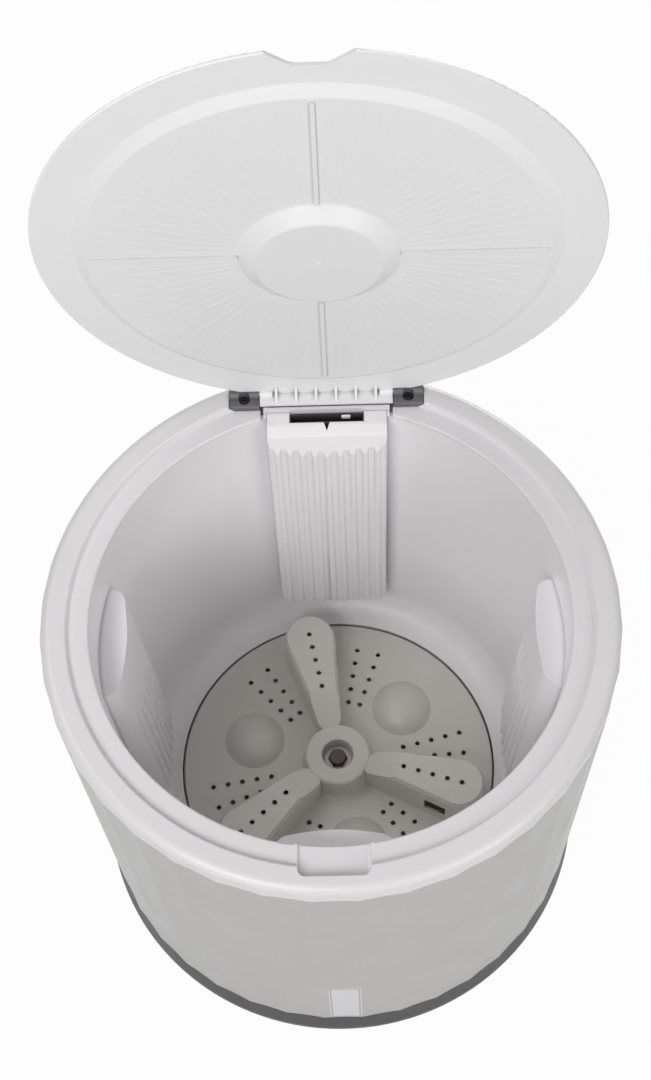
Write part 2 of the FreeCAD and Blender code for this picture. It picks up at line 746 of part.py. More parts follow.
def make_duct_slot_insert():
    """Shallow grated cup in the slot on the duct's shelf."""
    x0, x1, y0, y1 = slot_span()
    gap = FIXED_CLEARANCE * 5
    top = SHELF_Z - SLOT_INSERT_WALL
    low = top - SLOT_INSERT_HEIGHT
    y1 -= SLOT_INSERT_REAR
    cup = box(x0 + gap, x1 - gap, y0 + gap, y1 - gap, low, top)
    wall = SLOT_INSERT_WALL + gap
    cup = cup.cut(box(x0 + wall, x1 - wall, y0 + wall, y1 - wall, low + SLOT_INSERT_WALL, top))
    bars = 6
    pitch = (x1 - x0 - 2 * wall) / bars
    slits = []
    for i in range(bars):
        middle = x0 + wall + pitch * (i + 0.5)
        slits.append(box(middle - pitch * 0.3, middle + pitch * 0.3, y0 + 2 * wall, y1 - 2 * wall,
                         low, low + SLOT_INSERT_WALL))
    return cup.cut(slits)


def trough_block(grow):
    """Outside of the hinge trough, which the rim fills and the tub leaves free."""
    return box(-TROUGH_HALF_X - TROUGH_WALL - grow, TROUGH_HALF_X + TROUGH_WALL + grow,
               TROUGH_FRONT_Y - TROUGH_WALL - grow, TROUGH_REAR_Y + TROUGH_WALL + grow,
               TROUGH_Z - TROUGH_WALL - grow, LEDGE_Z)


def pocket_front_y():
    """Front of the finger pocket, which runs from the band through the ledge to the tub's mouth."""
    return -BAND_RADIUS - POCKET_INTO_BAND


def pocket_block(grow, top_z):
    """Outside of the finger pocket at the front, up to the tub's mouth."""
    half = POCKET_WIDTH / 2 + POCKET_WALL + grow
    return box(-half, half, pocket_front_y() - POCKET_WALL - grow, -MOUTH_RADIUS + POCKET_WIDTH / 2,
               LEDGE_Z - POCKET_DEPTH - POCKET_WALL - grow, top_z)


def pocket_room():
    """Space inside the finger pocket, with a rounded floor."""
    half = POCKET_WIDTH / 2
    front = pocket_front_y()
    rear = -MOUTH_RADIUS + POCKET_CORNER * 2
    floor = LEDGE_Z - POCKET_DEPTH
    room = prism_z([
        (-half, front, POCKET_CORNER),
        (half, front, POCKET_CORNER),
        (half, rear, POCKET_CORNER),
        (-half, rear, POCKET_CORNER),
    ], floor, RIM_TOP_Z + RIM_ROUND)
    low_edges = [edge for edge in room.Edges if edge.BoundBox.ZMax < floor + POCKET_DEPTH / 2]
    return room.makeFillet(POCKET_FLOOR_ROUND, low_edges)


def make_rim_ring():
    """Top frame: rounded and fluted outer band, lid ledge, finger pocket and hinge trough."""
    frame = turned([
        (MOUTH_RADIUS, TUB_TOP_Z, 0),
        (BAND_RADIUS + RIM_WALL, TUB_TOP_Z, 0),
        (BAND_RADIUS + RIM_WALL, RIM_LOW_Z, 0),
        (RIM_RADIUS, RIM_LOW_Z, 0),
        (RIM_RADIUS, RIM_TOP_Z, RIM_ROUND),
        (BAND_RADIUS, RIM_TOP_Z, STEP_ROUND),
        (STEP_RADIUS, LEDGE_Z, RISER_FOOT_ROUND),
        (MOUTH_RADIUS, LEDGE_Z, LIP_ROUND),
    ])
    frame = frame.common(fluted(RIM_RADIUS, RIM_LOW_Z, RIM_RADIUS, RIM_TOP_Z))
    skirt = RIM_RADIUS - CASE_WALL
    inner_top = RIM_TOP_Z - RIM_WALL
    channel = fluted(skirt, RIM_LOW_Z, skirt, inner_top)
    frame = frame.cut(channel.cut(rod(BAND_RADIUS + RIM_WALL, RIM_LOW_Z, inner_top)))
    outer = RIM_RADIUS - RIM_ROUND / 2
    within = ring(outer, MOUTH_RADIUS, RIM_LOW_Z, LEDGE_Z)
    within = within.fuse(ring(outer, BAND_RADIUS, RIM_LOW_Z, RIM_TOP_Z))
    pocket_walls = pocket_block(0, RIM_TOP_Z - RIM_WALL / 2).common(within)
    lip_z = HINGE_Z - HINGE_PLATE_T / 2 - TROUGH_SWEEP_GAP
    lip = box(-TONGUE_HALF_X, TONGUE_HALF_X, TROUGH_FRONT_Y - TROUGH_WALL, TROUGH_FRONT_Y, TROUGH_Z, lip_z)
    frame = frame.fuse([trough_block(0).common(rod(outer, RIM_LOW_Z, LEDGE_Z)), pocket_walls, lip])
    trough = box(-TROUGH_HALF_X, TROUGH_HALF_X, TROUGH_FRONT_Y, TROUGH_REAR_Y,
                 TROUGH_Z, RIM_TOP_Z + RIM_ROUND)
    holes = [rod(HINGE_SCREW_RADIUS + FIXED_CLEARANCE, RIM_LOW_Z - TROUGH_WALL, TROUGH_Z, p)
             for p in hinge_screw_places()]
    shelf = shelf_room(SEAT_GAP, TUB_TOP_Z)
    for outer_x in (LEDGE_SLIT_WIDTH - TONGUE_HALF_X, TONGUE_HALF_X):
        slit_front = TROUGH_FRONT_Y - TROUGH_WALL - LEDGE_SLIT_LENGTH
        holes.append(box(outer_x - LEDGE_SLIT_WIDTH, outer_x, slit_front, TROUGH_FRONT_Y, TROUGH_Z, RIM_TOP_Z))
    return frame.cut([trough, pocket_room(), shelf] + holes).removeSplitter()


def flute_wire(ridge, z):
    """Closed scalloped wire: one hollow arc per flute between sharp ridges."""
    step = 360.0 / FLUTES
    arcs = []
    for i in range(FLUTES):
        start = -90.0 + step * (i - 0.5)
        first = polar(ridge, start, z)
        middle = polar(ridge * math.cos(math.radians(step / 2)) - FLUTE_DEPTH, start + step / 2, z)
        last = polar(ridge, start + step, z)
        arcs.append(Part.Arc(first, middle, last).toShape())
    return Part.Wire(arcs)


def fluted(low_ridge, low_z, top_ridge, top_z):
    """Fluted drum between two heights."""
    return Part.makeLoft([flute_wire(low_ridge, low_z), flute_wire(top_ridge, top_z)], True, True)


def make_outer_casing():
    """Fluted, tapered shell with screw bosses, an opening for the control tray and a drain hole."""
    skin = fluted(CASE_LOW_RADIUS, CASE_LOW_Z, RIM_RADIUS, RIM_LOW_Z)
    inside = fluted(CASE_LOW_RADIUS - CASE_WALL, CASE_LOW_Z, RIM_RADIUS - CASE_WALL, RIM_LOW_Z)
    shell = skin.cut(inside)
    boss_z = case_boss_z()
    bosses = []
    holes = []
    boss_top = boss_z + CASE_BOSS_LENGTH
    rib = box(CASE_SCREW_PITCH_RADIUS, CASE_INNER_LOW + CASE_WALL / 2,
              -CASE_BOSS_RADIUS / 2, CASE_BOSS_RADIUS / 2, boss_z, boss_top)
    for p in case_screw_places():
        bosses.append(spun(rib, math.degrees(math.atan2(p.y, p.x))))
        bosses.append(rod(CASE_BOSS_RADIUS, boss_z, boss_top, p))
        holes.append(rod(SCREW_RADIUS + FIXED_CLEARANCE, boss_z, boss_top - CASE_WALL, p))
    fit = TRAY_FIT
    window = box(-TRAY_HALF_WIDTH - fit, TRAY_HALF_WIDTH + fit, CASE_LOW_RADIUS / 2, RIM_RADIUS * 2,
                 TRAY_Z - TRAY_HEIGHT / 2 - fit, TRAY_Z + TRAY_HEIGHT / 2 + fit)
    holes.append(window)
    holes.append(rod_y(CASE_DRAIN_HOLE, CASE_LOW_RADIUS / 2, RIM_RADIUS * 2, DRAIN_X, DRAIN_Z))
    return shell.fuse(bosses).cut(holes).removeSplitter()


def case_boss_z():
    """Height where the casing's screw bosses start, just above the base's posts."""
    return CASE_LOW_Z + UPSTAND_HEIGHT + CASE_BOSS_GAP


def make_base_tray():
    """Dark flared base ring with its floor, pillars, bosses, posts and capacitor seat."""
    shoulder = CASE_LOW_RADIUS - BASE_FLARE * 0.6
    upstand = CASE_INNER_LOW - TRAY_FIT
    upstand_z = CASE_LOW_Z + UPSTAND_HEIGHT
    tray = turned([
        (0, FOOT_HEIGHT, 0),
        (BASE_RADIUS, FOOT_HEIGHT, BASE_FLARE),
        (BASE_RADIUS, FOOT_HEIGHT + BASE_RING_HEIGHT / 4, 0),
        (shoulder, CASE_LOW_Z, 0),
        (upstand, CASE_LOW_Z, 0),
        (upstand, upstand_z, 0),
        (upstand - BASE_WALL, upstand_z, 0),
        (upstand - BASE_WALL, BASE_FLOOR_Z, BASE_WALL),
        (0, BASE_FLOOR_Z, 0),
    ])
    pillar_top = TUB_BASE_Z - TUB_BOSS_LENGTH
    boss_top = BRACKET_Z - GROMMET_FLANGE
    post_top = case_boss_z()
    capacitor = V(CAPACITOR_AT, 0, 0)
    seat_r = CAPACITOR_RADIUS + FIXED_CLEARANCE * 5
    solids = [rod(PILLAR_RADIUS, FOOT_HEIGHT, pillar_top, p) for p in pillar_places()]
    solids += [rod(BOSS_RADIUS, FOOT_HEIGHT, boss_top, p) for p in grommet_places()]
    solids += [rod(CASE_BOSS_RADIUS, FOOT_HEIGHT, post_top, p) for p in case_screw_places()]
    solids.append(rod(CLAMP_POST_RADIUS, FOOT_HEIGHT, CLAMP_Z, clamp_post_place()))
    seat_top = BASE_FLOOR_Z + CAPACITOR_SEAT_HEIGHT
    solids.append(rod(seat_r + CAPACITOR_SEAT_WALL, FOOT_HEIGHT, seat_top, capacitor))
    holes = [rod(PILLAR_RADIUS - PILLAR_WALL, FOOT_HEIGHT, pillar_top - PILLAR_CAP_T, p)
             for p in pillar_places()]
    holes += [rod(SCREW_RADIUS + FIXED_CLEARANCE, FOOT_HEIGHT, pillar_top, p) for p in pillar_places()]
    holes += [rod(BRACKET_BOLT_RADIUS + FIXED_CLEARANCE, boss_top - BRACKET_BOLT_DEPTH, boss_top, p)
              for p in grommet_places()]
    holes += [rod(SCREW_RADIUS + FIXED_CLEARANCE, FOOT_HEIGHT, post_top, p) for p in case_screw_places()]
    holes += [rod(SCREW_HEAD_RADIUS + SEAT_GAP, FOOT_HEIGHT, case_screw_seat_z(), p)
              for p in case_screw_places()]
    holes.append(rod(SCREW_RADIUS + FIXED_CLEARANCE, CLAMP_Z - CLAMP_HEIGHT, CLAMP_Z, clamp_post_place()))
    holes.append(rod(seat_r, BASE_FLOOR_Z, seat_top, capacitor))
    holes += [rod(FOOT_STEM_RADIUS + FIXED_CLEARANCE, FOOT_HEIGHT, BASE_FLOOR_Z, p) for p in foot_places()]
    return tray.fuse(solids).cut(holes).removeSplitter()


def foot_places():
    """Where the four feet are."""
    return bolt_places(4, BASE_RADIUS - FOOT_INSET)


def case_screw_seat_z():
    """Height of the seat under the heads of the casing's screws."""
    return FOOT_HEIGHT + SCREW_HEAD_T + BASE_FLOOR_T


def clamp_post_place():
    """Where the capacitor clamp is screwed down."""
    return V(CAPACITOR_AT, CLAMP_POST_Y, 0)


def make_feet():
    """Rubber feet with stems through the base floor."""
    feet = []
    for p in foot_places():
        pad = Part.makeCone(FOOT_RADIUS * 0.86, FOOT_RADIUS, FOOT_HEIGHT, p, Z_AXIS)
        stem = rod(FOOT_STEM_RADIUS, FOOT_HEIGHT, FOOT_HEIGHT + FOOT_STEM_LENGTH, p)
        feet.append(pad.fuse(stem).removeSplitter())
    return Part.makeCompound(feet)


def make_base_screws():
    """Screws from below that hold the casing to the base."""
    length = case_boss_z() - case_screw_seat_z() + CASE_BOSS_LENGTH * 0.7
    one = screw(SCREW_RADIUS, length, SCREW_HEAD_RADIUS, SCREW_HEAD_T)
    return Part.makeCompound([placed(one, p + V(0, 0, case_screw_seat_z())) for p in case_screw_places()])


def make_pillar_screws():
    """Screws inside the pillars that hold the tub."""
    one = screw(SCREW_RADIUS, PILLAR_SCREW_LENGTH - SEAT_GAP, SCREW_HEAD_RADIUS, SCREW_HEAD_T)
    seat = TUB_BASE_Z - TUB_BOSS_LENGTH - PILLAR_CAP_T
    return Part.makeCompound([placed(one, p + V(0, 0, seat)) for p in pillar_places()])


def lid_notch():
    """Finger notch at the front edge of the lid."""
    floor_y = -LID_RADIUS + LID_NOTCH_DEPTH
    edge_half = LID_NOTCH_WIDTH / 2
    floor_half = LID_NOTCH_FLOOR / 2
    out_y = -LID_RADIUS - LID_NOTCH_DEPTH
    out_half = edge_half + (edge_half - floor_half)
    return prism_z([
        (-out_half, out_y, 0),
        (out_half, out_y, 0),
        (floor_half, floor_y, LID_NOTCH_ROUND),
        (-floor_half, floor_y, LID_NOTCH_ROUND),
    ], TUB_TOP_Z - LID_DISH_DROP * 3, RIM_TOP_Z + RIM_HEIGHT)


def make_lid_closed():
    """Lid as it lies closed: flange, plateau, dish, ribs, notch and the hinge flange with gussets."""
    flange_r = LID_RADIUS - LID_FLANGE_WIDTH
    plateau_r = flange_r - LID_SLOPE_WIDTH
    plateau_z = LID_Z - LID_PLATEAU_DROP
    dish_floor_r = LID_DISH_RADIUS - LID_DISH_SLOPE
    dish_z = plateau_z - LID_DISH_DROP
    side = LID_T * 0.5
    panel = turned([
        (0, dish_z, 0),
        (dish_floor_r, dish_z, LID_DISH_ROUND),
        (LID_DISH_RADIUS, plateau_z, LID_DISH_ROUND),
        (plateau_r, plateau_z, LID_BEND_OUT),
        (flange_r, LID_Z, LID_BEND_IN),
        (LID_RADIUS, LID_Z, LID_EDGE_ROUND),
        (LID_RADIUS, LID_Z + LID_T, LID_EDGE_ROUND),
        (flange_r - side, LID_Z + LID_T, LID_BEND_OUT),
        (plateau_r - side, plateau_z + LID_T, LID_BEND_IN),
        (LID_DISH_RADIUS + side, plateau_z + LID_T, LID_BEND_IN),
        (dish_floor_r - side, dish_z + LID_T, LID_BEND_IN),
        (0, dish_z + LID_T, 0),
    ])
    rib = box(LID_DISH_RADIUS, plateau_r - LID_RIB_WIDTH, -LID_RIB_WIDTH / 2, LID_RIB_WIDTH / 2,
              plateau_z - LID_RIB_HEIGHT, plateau_z)
    corner_y = HINGE_Y - KNUCKLE_RADIUS - TROUGH_REAR_GAP
    tongue_y = HINGE_Y + KNUCKLE_RADIUS * 0.8
    far = LID_RADIUS * 2
    low = dish_z - LID_T
    high = LID_Z + LID_T * 2
    trims = [
        box(TONGUE_HALF_X, far, corner_y, far, low, high),
        box(-far, -TONGUE_HALF_X, corner_y, far, low, high),
        box(-far, far, tongue_y, far, low, high),
        lid_notch(),
    ]
    panel = panel.fuse([spun(rib, 90 * i) for i in range(4)]).cut(trims)
    plate_half = HINGE_PLATE_T / 2
    plate = box(-TONGUE_HALF_X, TONGUE_HALF_X, HINGE_Y - plate_half, HINGE_Y + plate_half,
                HINGE_Z - HINGE_PLATE_LENGTH, LID_Z + LID_T / 2)
    gusset = [(HINGE_Y, LID_Z, 0), (HINGE_Y - plate_half - GUSSET_LEG, LID_Z, 0),
              (HINGE_Y, LID_Z - GUSSET_LEG - plate_half, 0)]
    extras = [plate]
    for i in range(HINGE_GUSSETS):
        x = (i - (HINGE_GUSSETS - 1) / 2) * GUSSET_PITCH
        extras.append(prism_x(gusset, x - GUSSET_T / 2, x + GUSSET_T / 2))
    barrel_in = TONGUE_HALF_X - BARREL_LENGTH
    barrel = rod_x(KNUCKLE_RADIUS - TROUGH_REAR_GAP / 6, barrel_in, TONGUE_HALF_X, HINGE_Y, HINGE_Z)
    hole = rod_x(PIN_RADIUS + RUN_CLEARANCE, barrel_in, TONGUE_HALF_X, HINGE_Y, HINGE_Z)
    extras += [barrel, mirrored_x(barrel)]
    return panel.fuse(extras).cut([hole, mirrored_x(hole)]).removeSplitter()


def make_lid_panel():
    """Lid swung open on its pins, which hold it there by friction."""
    lid = make_lid_closed()
    lid.rotate(V(0, HINGE_Y, HINGE_Z), X_AXIS, -LID_OPEN_DEG)
    return lid


def hinge_screw_places():
    """Where the hinge blocks are screwed to the rim."""
    x = HINGE_HALF_SPAN + BLOCK_WIDTH / 2
    y = HINGE_Y - HINGE_SCREW_FRONT
    return [V(-x, y, 0), V(x, y, 0)]


def make_hinge_block(side):
    """Hinge block with a round knuckle and a sunk screw hole; side is -1 left or 1 right."""
    x0 = HINGE_HALF_SPAN
    x1 = x0 + BLOCK_WIDTH
    front = HINGE_Y - BLOCK_FRONT
    rear = HINGE_Y + KNUCKLE_RADIUS
    body = prism_x([
        (front, TROUGH_Z, 0),
        (rear, TROUGH_Z, 0),
        (rear, BLOCK_TOP_Z, 0),
        (front, BLOCK_TOP_Z, BLOCK_ROUND),
    ], x0, x1)
    body = body.fuse(rod_x(KNUCKLE_RADIUS, x0, x1, HINGE_Y, HINGE_Z))
    at = hinge_screw_places()[1]
    above = HINGE_Z + KNUCKLE_RADIUS
    sink = rod(HINGE_SCREW_HEAD + SEAT_GAP, BLOCK_TOP_Z - HINGE_SCREW_SINK, above, at)
    shank = rod(HINGE_SCREW_RADIUS + FIXED_CLEARANCE, TROUGH_Z, above, at)
    pin = rod_x(PIN_RADIUS + FIXED_CLEARANCE, x0, x0 + PIN_IN_BLOCK, HINGE_Y, HINGE_Z)
    block = body.cut([sink, shank, pin]).removeSplitter()
    return block if side > 0 else mirrored_x(block)


def make_hinge_pin(side):
    """Hinge pin from the block into the lid's barrel; side is -1 left or 1 right."""
    inner = TONGUE_HALF_X - BARREL_LENGTH + SEAT_GAP
    outer = HINGE_HALF_SPAN + PIN_IN_BLOCK - SEAT_GAP
    pin = rod_x(PIN_RADIUS, inner, outer, HINGE_Y, HINGE_Z)
    return pin if side > 0 else mirrored_x(pin)


def make_hinge_screws():
    """Screws that hold the hinge blocks down on the rim."""
    seat = BLOCK_TOP_Z - HINGE_SCREW_SINK
    one = screw(HINGE_SCREW_RADIUS, seat - RIM_LOW_Z, HINGE_SCREW_HEAD, HINGE_SCREW_HEAD_T)
    return Part.makeCompound([placed(one, p + V(0, 0, seat), -Z_AXIS) for p in hinge_screw_places()])


def teardrop(inset, z):
    """Plan outline of a vane along +X, drawn in by an inset."""
    big = VANE_OUTER_RADIUS - inset
    small = max(VANE_INNER_RADIUS - inset, VANE_INNER_RADIUS * 0.1)
    lean = math.acos((small - big) / (VANE_OUTER_AT - VANE_INNER_AT))
    tangent = V(math.cos(lean), math.sin(lean), 0)
    flip = V(math.cos(lean), -math.sin(lean), 0)
    a = V(VANE_OUTER_AT, 0, z)
    b = V(VANE_INNER_AT, 0, z)
    outer = Part.Arc(a + flip * big, a + V(big, 0, 0), a + tangent * big).toShape()
    inner = Part.Arc(b + tangent * small, b - V(small, 0, 0), b + flip * small).toShape()
    side_up = Part.makeLine(a + tangent * big, b + tangent * small)
    side_down = Part.makeLine(b + flip * small, a + flip * big)
    return Part.Wire([outer, side_up, inner, side_down])


def vane_fall(inset):
    """Space over a vane's inner end, whose top falls to the hub's."""
    hub_top = DISC_Z + HUB_RISE
    slope = (VANE_RISE - HUB_RISE) / (VANE_RAMP_AT - HUB_RADIUS)
    sink = inset * math.hypot(1, slope)
    low = hub_top - HUB_RADIUS * slope - sink
    high = hub_top + (VANE_OUTER_AT - HUB_RADIUS) * slope - sink
    side = VANE_OUTER_RADIUS
    face = profile_face([(0, low, 0), (VANE_OUTER_AT, high, 0), (0, high, 0)], lambda x, z: V(x, -side, z))
    return face.extrude(V(0, side * 2, 0))


def vane_solid(inset, low_z):
    """Steep-sided vane with a bevelled crown and a sloping inner end, drawn in by an inset all round."""
    top_z = DISC_Z + VANE_RISE - inset
    vane = Part.makeLoft([
        teardrop(inset, low_z),
        teardrop(inset + VANE_DRAFT, top_z - VANE_CROWN_HEIGHT),
        teardrop(inset + VANE_DRAFT + VANE_CROWN, top_z),
    ], True, True)
    return vane.cut(vane_fall(inset))


def dome_solid(inset):
    """Spherical dome on the disc, drawn in by an inset."""
    radius = (DOME_RADIUS ** 2 + DOME_RISE ** 2) / (2 * DOME_RISE)
    ball = Part.makeSphere(radius - inset, V(DOME_AT, 0, DISC_Z + DOME_RISE - radius))
    low = DISC_LOW_Z if inset else DISC_Z - DISC_T / 2
    return ball.common(rod(DOME_RADIUS, low, DISC_Z + DOME_RISE, V(DOME_AT, 0, 0)))


def row_radii():
    """Radii of the holes in one row."""
    step = (ROW_LAST_AT - ROW_FIRST_AT) / (ROW_HOLES - 1)
    return [ROW_FIRST_AT + step * i for i in range(ROW_HOLES)]


def make_pulsator():
    """Pulsator: skirted disc, bored hub, hollow vanes and domes, and rows of drain holes."""
    hub_top = DISC_Z + HUB_RISE
    bore_z = hub_top - HUB_BORE_DEPTH
    core_top = bore_z - HUB_WALL
    low = DISC_LOW_Z - HUB_DROP / 2
    disc = turned([
        (SHAFT_RADIUS + FIXED_CLEARANCE, low, 0),
        (HUB_CORE_RADIUS, low, 0),
        (HUB_CORE_RADIUS, core_top, 0),
        (HUB_RADIUS - HUB_WALL, core_top, HUB_ROUND),
        (HUB_RADIUS - HUB_WALL, DISC_LOW_Z, 0),
        (PULSATOR_RADIUS - DISC_SKIRT_T, DISC_LOW_Z, 0),
        (PULSATOR_RADIUS - DISC_SKIRT_T, DISC_Z - DISC_SKIRT, 0),
        (PULSATOR_RADIUS, DISC_Z - DISC_SKIRT, 0),
        (PULSATOR_RADIUS, DISC_Z, DISC_EDGE_ROUND),
        (HUB_RADIUS + HUB_TAPER, DISC_Z, HUB_ROUND),
        (HUB_RADIUS - HUB_TAPER, hub_top, HUB_ROUND),
        (HUB_BORE_RADIUS, hub_top, HUB_BORE_ROUND),
        (HUB_BORE_RADIUS, bore_z, 0),
        (SHAFT_RADIUS + FIXED_CLEARANCE, bore_z, 0),
    ])
    angles = [VANE_FIRST_DEG + 360.0 * i / VANES for i in range(VANES)]
    between = 180.0 / VANES
    solids = [spun(vane_solid(0, DISC_Z - DISC_T / 2), a) for a in angles]
    solids += [spun(dome_solid(0), a + between) for a in angles]
    hollows = [spun(vane_solid(VANE_WALL, DISC_LOW_Z), a) for a in angles]
    hollows += [spun(dome_solid(DISC_T), a + between) for a in angles]
    slot_z = DISC_Z + VANE_SLOT_HEIGHT / 2
    slot = box(VANE_SLOT_AT, VANE_SLOT_AT + VANE_SLOT_LENGTH, -VANE_OUTER_RADIUS * 2, -VANE_OUTER_RADIUS / 3,
               slot_z, slot_z + VANE_SLOT_HEIGHT)
    hollows += [spun(slot, a) for a in angles]
    holes = []
    for a in angles:
        for r in row_radii():
            for offset in ROW_OFFSETS_DEG:
                holes.append(rod(DRAIN_HOLE_RADIUS, DISC_LOW_Z, DISC_Z, polar(r, a + offset)))
            holes.append(rod(DRAIN_HOLE_RADIUS, DISC_Z, DISC_Z + VANE_RISE, polar(r, a)))
    return disc.fuse(solids).cut(hollows).cut(holes).removeSplitter()


def hub_floor_z():
    """Height of the floor of the hub's bore, where the washer sits."""
    return DISC_Z + HUB_RISE - HUB_BORE_DEPTH


def make_bolt_washer():
    """Washer under the pulsator's bolt."""
    return ring(WASHER_RADIUS, BOLT_RADIUS + FIXED_CLEARANCE, hub_floor_z(), hub_floor_z() + WASHER_T)


def make_pulsator_bolt():
    """Hexagon bolt in the hub's bore, threaded into the drive shaft."""
    seat = hub_floor_z() + WASHER_T
    head = hexagon(BOLT_FLATS, seat, seat + BOLT_HEAD_T)
    crown = Part.makeCone(BOLT_FLATS * 0.72, BOLT_FLATS * 0.42, BOLT_HEAD_T * 1.2, V(0, 0, seat), Z_AXIS)
    return head.common(crown).fuse(rod(BOLT_RADIUS, seat - BOLT_LENGTH, seat)).removeSplitter()


def make_drive_shaft():
    """Drive shaft from the pulley nut up to the hub, tapped for the bolt."""
    shaft = rod(SHAFT_THREAD_RADIUS, SHAFT_END_Z, PULLEY_Z).fuse(rod(SHAFT_RADIUS, PULLEY_Z, hub_floor_z()))
    tapped = rod(BOLT_RADIUS + FIXED_CLEARANCE, hub_floor_z() - BOLT_LENGTH, hub_floor_z())
    return shaft.cut(tapped).removeSplitter()


def housing_top_z():
    """Top of the bearing housing, just above the tub's centre pad."""
    return CENTRE_PAD_Z + HOUSING_RISE


def housing_low_z():
    """Lower end of the bearing housing."""
    return TUB_BASE_Z - HOUSING_BELOW


def housing_screw_places():
    """Where the bearing housing is screwed under the tub."""
    return bolt_places(HOUSING_SCREWS, HOUSING_SCREW_PITCH_RADIUS, 0.0)


def make_bearing_housing():
    """Flanged tube under the tub that carries the bushes and the seal."""
    bore = SHAFT_RADIUS + RUN_CLEARANCE + BUSH_T + FIXED_CLEARANCE
    body = rod(HOUSING_TUBE_RADIUS, housing_low_z(), housing_top_z())
    body = body.fuse(rod(HOUSING_FLANGE_RADIUS, TUB_BASE_Z - HOUSING_FLANGE_T, TUB_BASE_Z))
    holes = [rod(bore, housing_low_z(), housing_top_z()),
             rod(SEAL_RADIUS, housing_top_z() - SEAL_HEIGHT, housing_top_z())]
    holes += [rod(SCREW_RADIUS + FIXED_CLEARANCE, TUB_BASE_Z - HOUSING_FLANGE_T, TUB_BASE_Z, p)
              for p in housing_screw_places()]
    return body.cut(holes).removeSplitter()


def make_bush(low_z):
    """Plain bearing bush round the drive shaft."""
    inner = SHAFT_RADIUS + RUN_CLEARANCE
    return ring(inner + BUSH_T, inner, low_z, low_z + BUSH_LENGTH)


def make_shaft_seal():
    """Rubber seal round the shaft at the top of the housing."""
    top = housing_top_z()
    return ring(SEAL_RADIUS - FIXED_CLEARANCE, SHAFT_RADIUS + RUN_CLEARANCE, top - SEAL_HEIGHT, top)


def make_housing_screws():
    """Screws that hold the bearing housing under the tub."""
    length = HOUSING_FLANGE_T + TUB_WALL + CENTRE_PAD_RISE - TUB_WALL - SEAT_GAP
    one = screw(SCREW_RADIUS, length, SCREW_HEAD_RADIUS, SCREW_HEAD_T)
    seat = TUB_BASE_Z - HOUSING_FLANGE_T
    return Part.makeCompound([placed(one, p + V(0, 0, seat)) for p in housing_screw_places()])


def belt_section(radius):
    """Belt's wedge section at a pulley, as (radius, height) corners, the wide side out."""
    outer = radius + BELT_HEIGHT / 2
    inner = radius - BELT_HEIGHT / 2
    return [(outer, BELT_Z - BELT_TOP_WIDTH / 2), (outer, BELT_Z + BELT_TOP_WIDTH / 2),
            (inner, BELT_Z + BELT_LOW_WIDTH / 2), (inner, BELT_Z - BELT_LOW_WIDTH / 2)]


def groove(radius):
    """Turned cut for a belt groove with a running gap all round, on the Z axis."""
    outer = radius + BELT_HEIGHT / 2 + PULLEY_LIP * 2
    inner = radius - BELT_HEIGHT / 2 - BELT_GAP
    spread = (BELT_TOP_WIDTH - BELT_LOW_WIDTH) / (2 * BELT_HEIGHT)
    low_half = BELT_LOW_WIDTH / 2 + BELT_GAP
    top_half = low_half + spread * (outer - inner)
    return turned([(inner, BELT_Z - low_half, 0), (outer, BELT_Z - top_half, 0),
                   (outer, BELT_Z + top_half, 0), (inner, BELT_Z + low_half, 0)])


def make_driven_pulley():
    """Large belt pulley on the drive shaft, with a hub and lightening holes."""
    rim_r = BELT_DRIVEN_R + BELT_HEIGHT / 2 + PULLEY_LIP
    rim_in = BELT_DRIVEN_R - BELT_HEIGHT / 2 - PULLEY_RIM_T
    bore = SHAFT_RADIUS + FIXED_CLEARANCE
    body = ring(rim_r, rim_in, PULLEY_Z, PULLEY_TOP_Z)
    body = body.fuse(rod(rim_in, BELT_Z - PULLEY_WEB_T / 2, BELT_Z + PULLEY_WEB_T / 2))
    body = body.fuse(rod(PULLEY_HUB_RADIUS, PULLEY_Z, PULLEY_TOP_Z + PULLEY_HUB_RISE))
    holes = [rod(PULLEY_HOLE_RADIUS, PULLEY_Z, PULLEY_TOP_Z, p)
             for p in bolt_places(PULLEY_HOLES, (PULLEY_HUB_RADIUS + rim_in) / 2, 90.0)]
    holes.append(rod(bore, PULLEY_Z, PULLEY_TOP_Z + PULLEY_HUB_RISE))
    return body.cut(holes + [groove(BELT_DRIVEN_R)]).removeSplitter()


def make_pulley_nut():
    """Nut that holds the large pulley on the shaft."""
    return hexagon(NUT_FLATS, SHAFT_END_Z, PULLEY_Z).cut(
        rod(SHAFT_THREAD_RADIUS + FIXED_CLEARANCE, SHAFT_END_Z, PULLEY_Z))


def make_motor_pulley():
    """Small belt pulley on the motor's shaft."""
    rim_r = BELT_MOTOR_R + BELT_HEIGHT / 2 + PULLEY_LIP
    body = rod(rim_r, PULLEY_Z, PULLEY_TOP_Z).cut(groove(BELT_MOTOR_R))
    body = body.cut(rod(MOTOR_SHAFT_RADIUS + FIXED_CLEARANCE, PULLEY_Z, PULLEY_TOP_Z))
    body.translate(MOTOR_CENTRE)
    return body


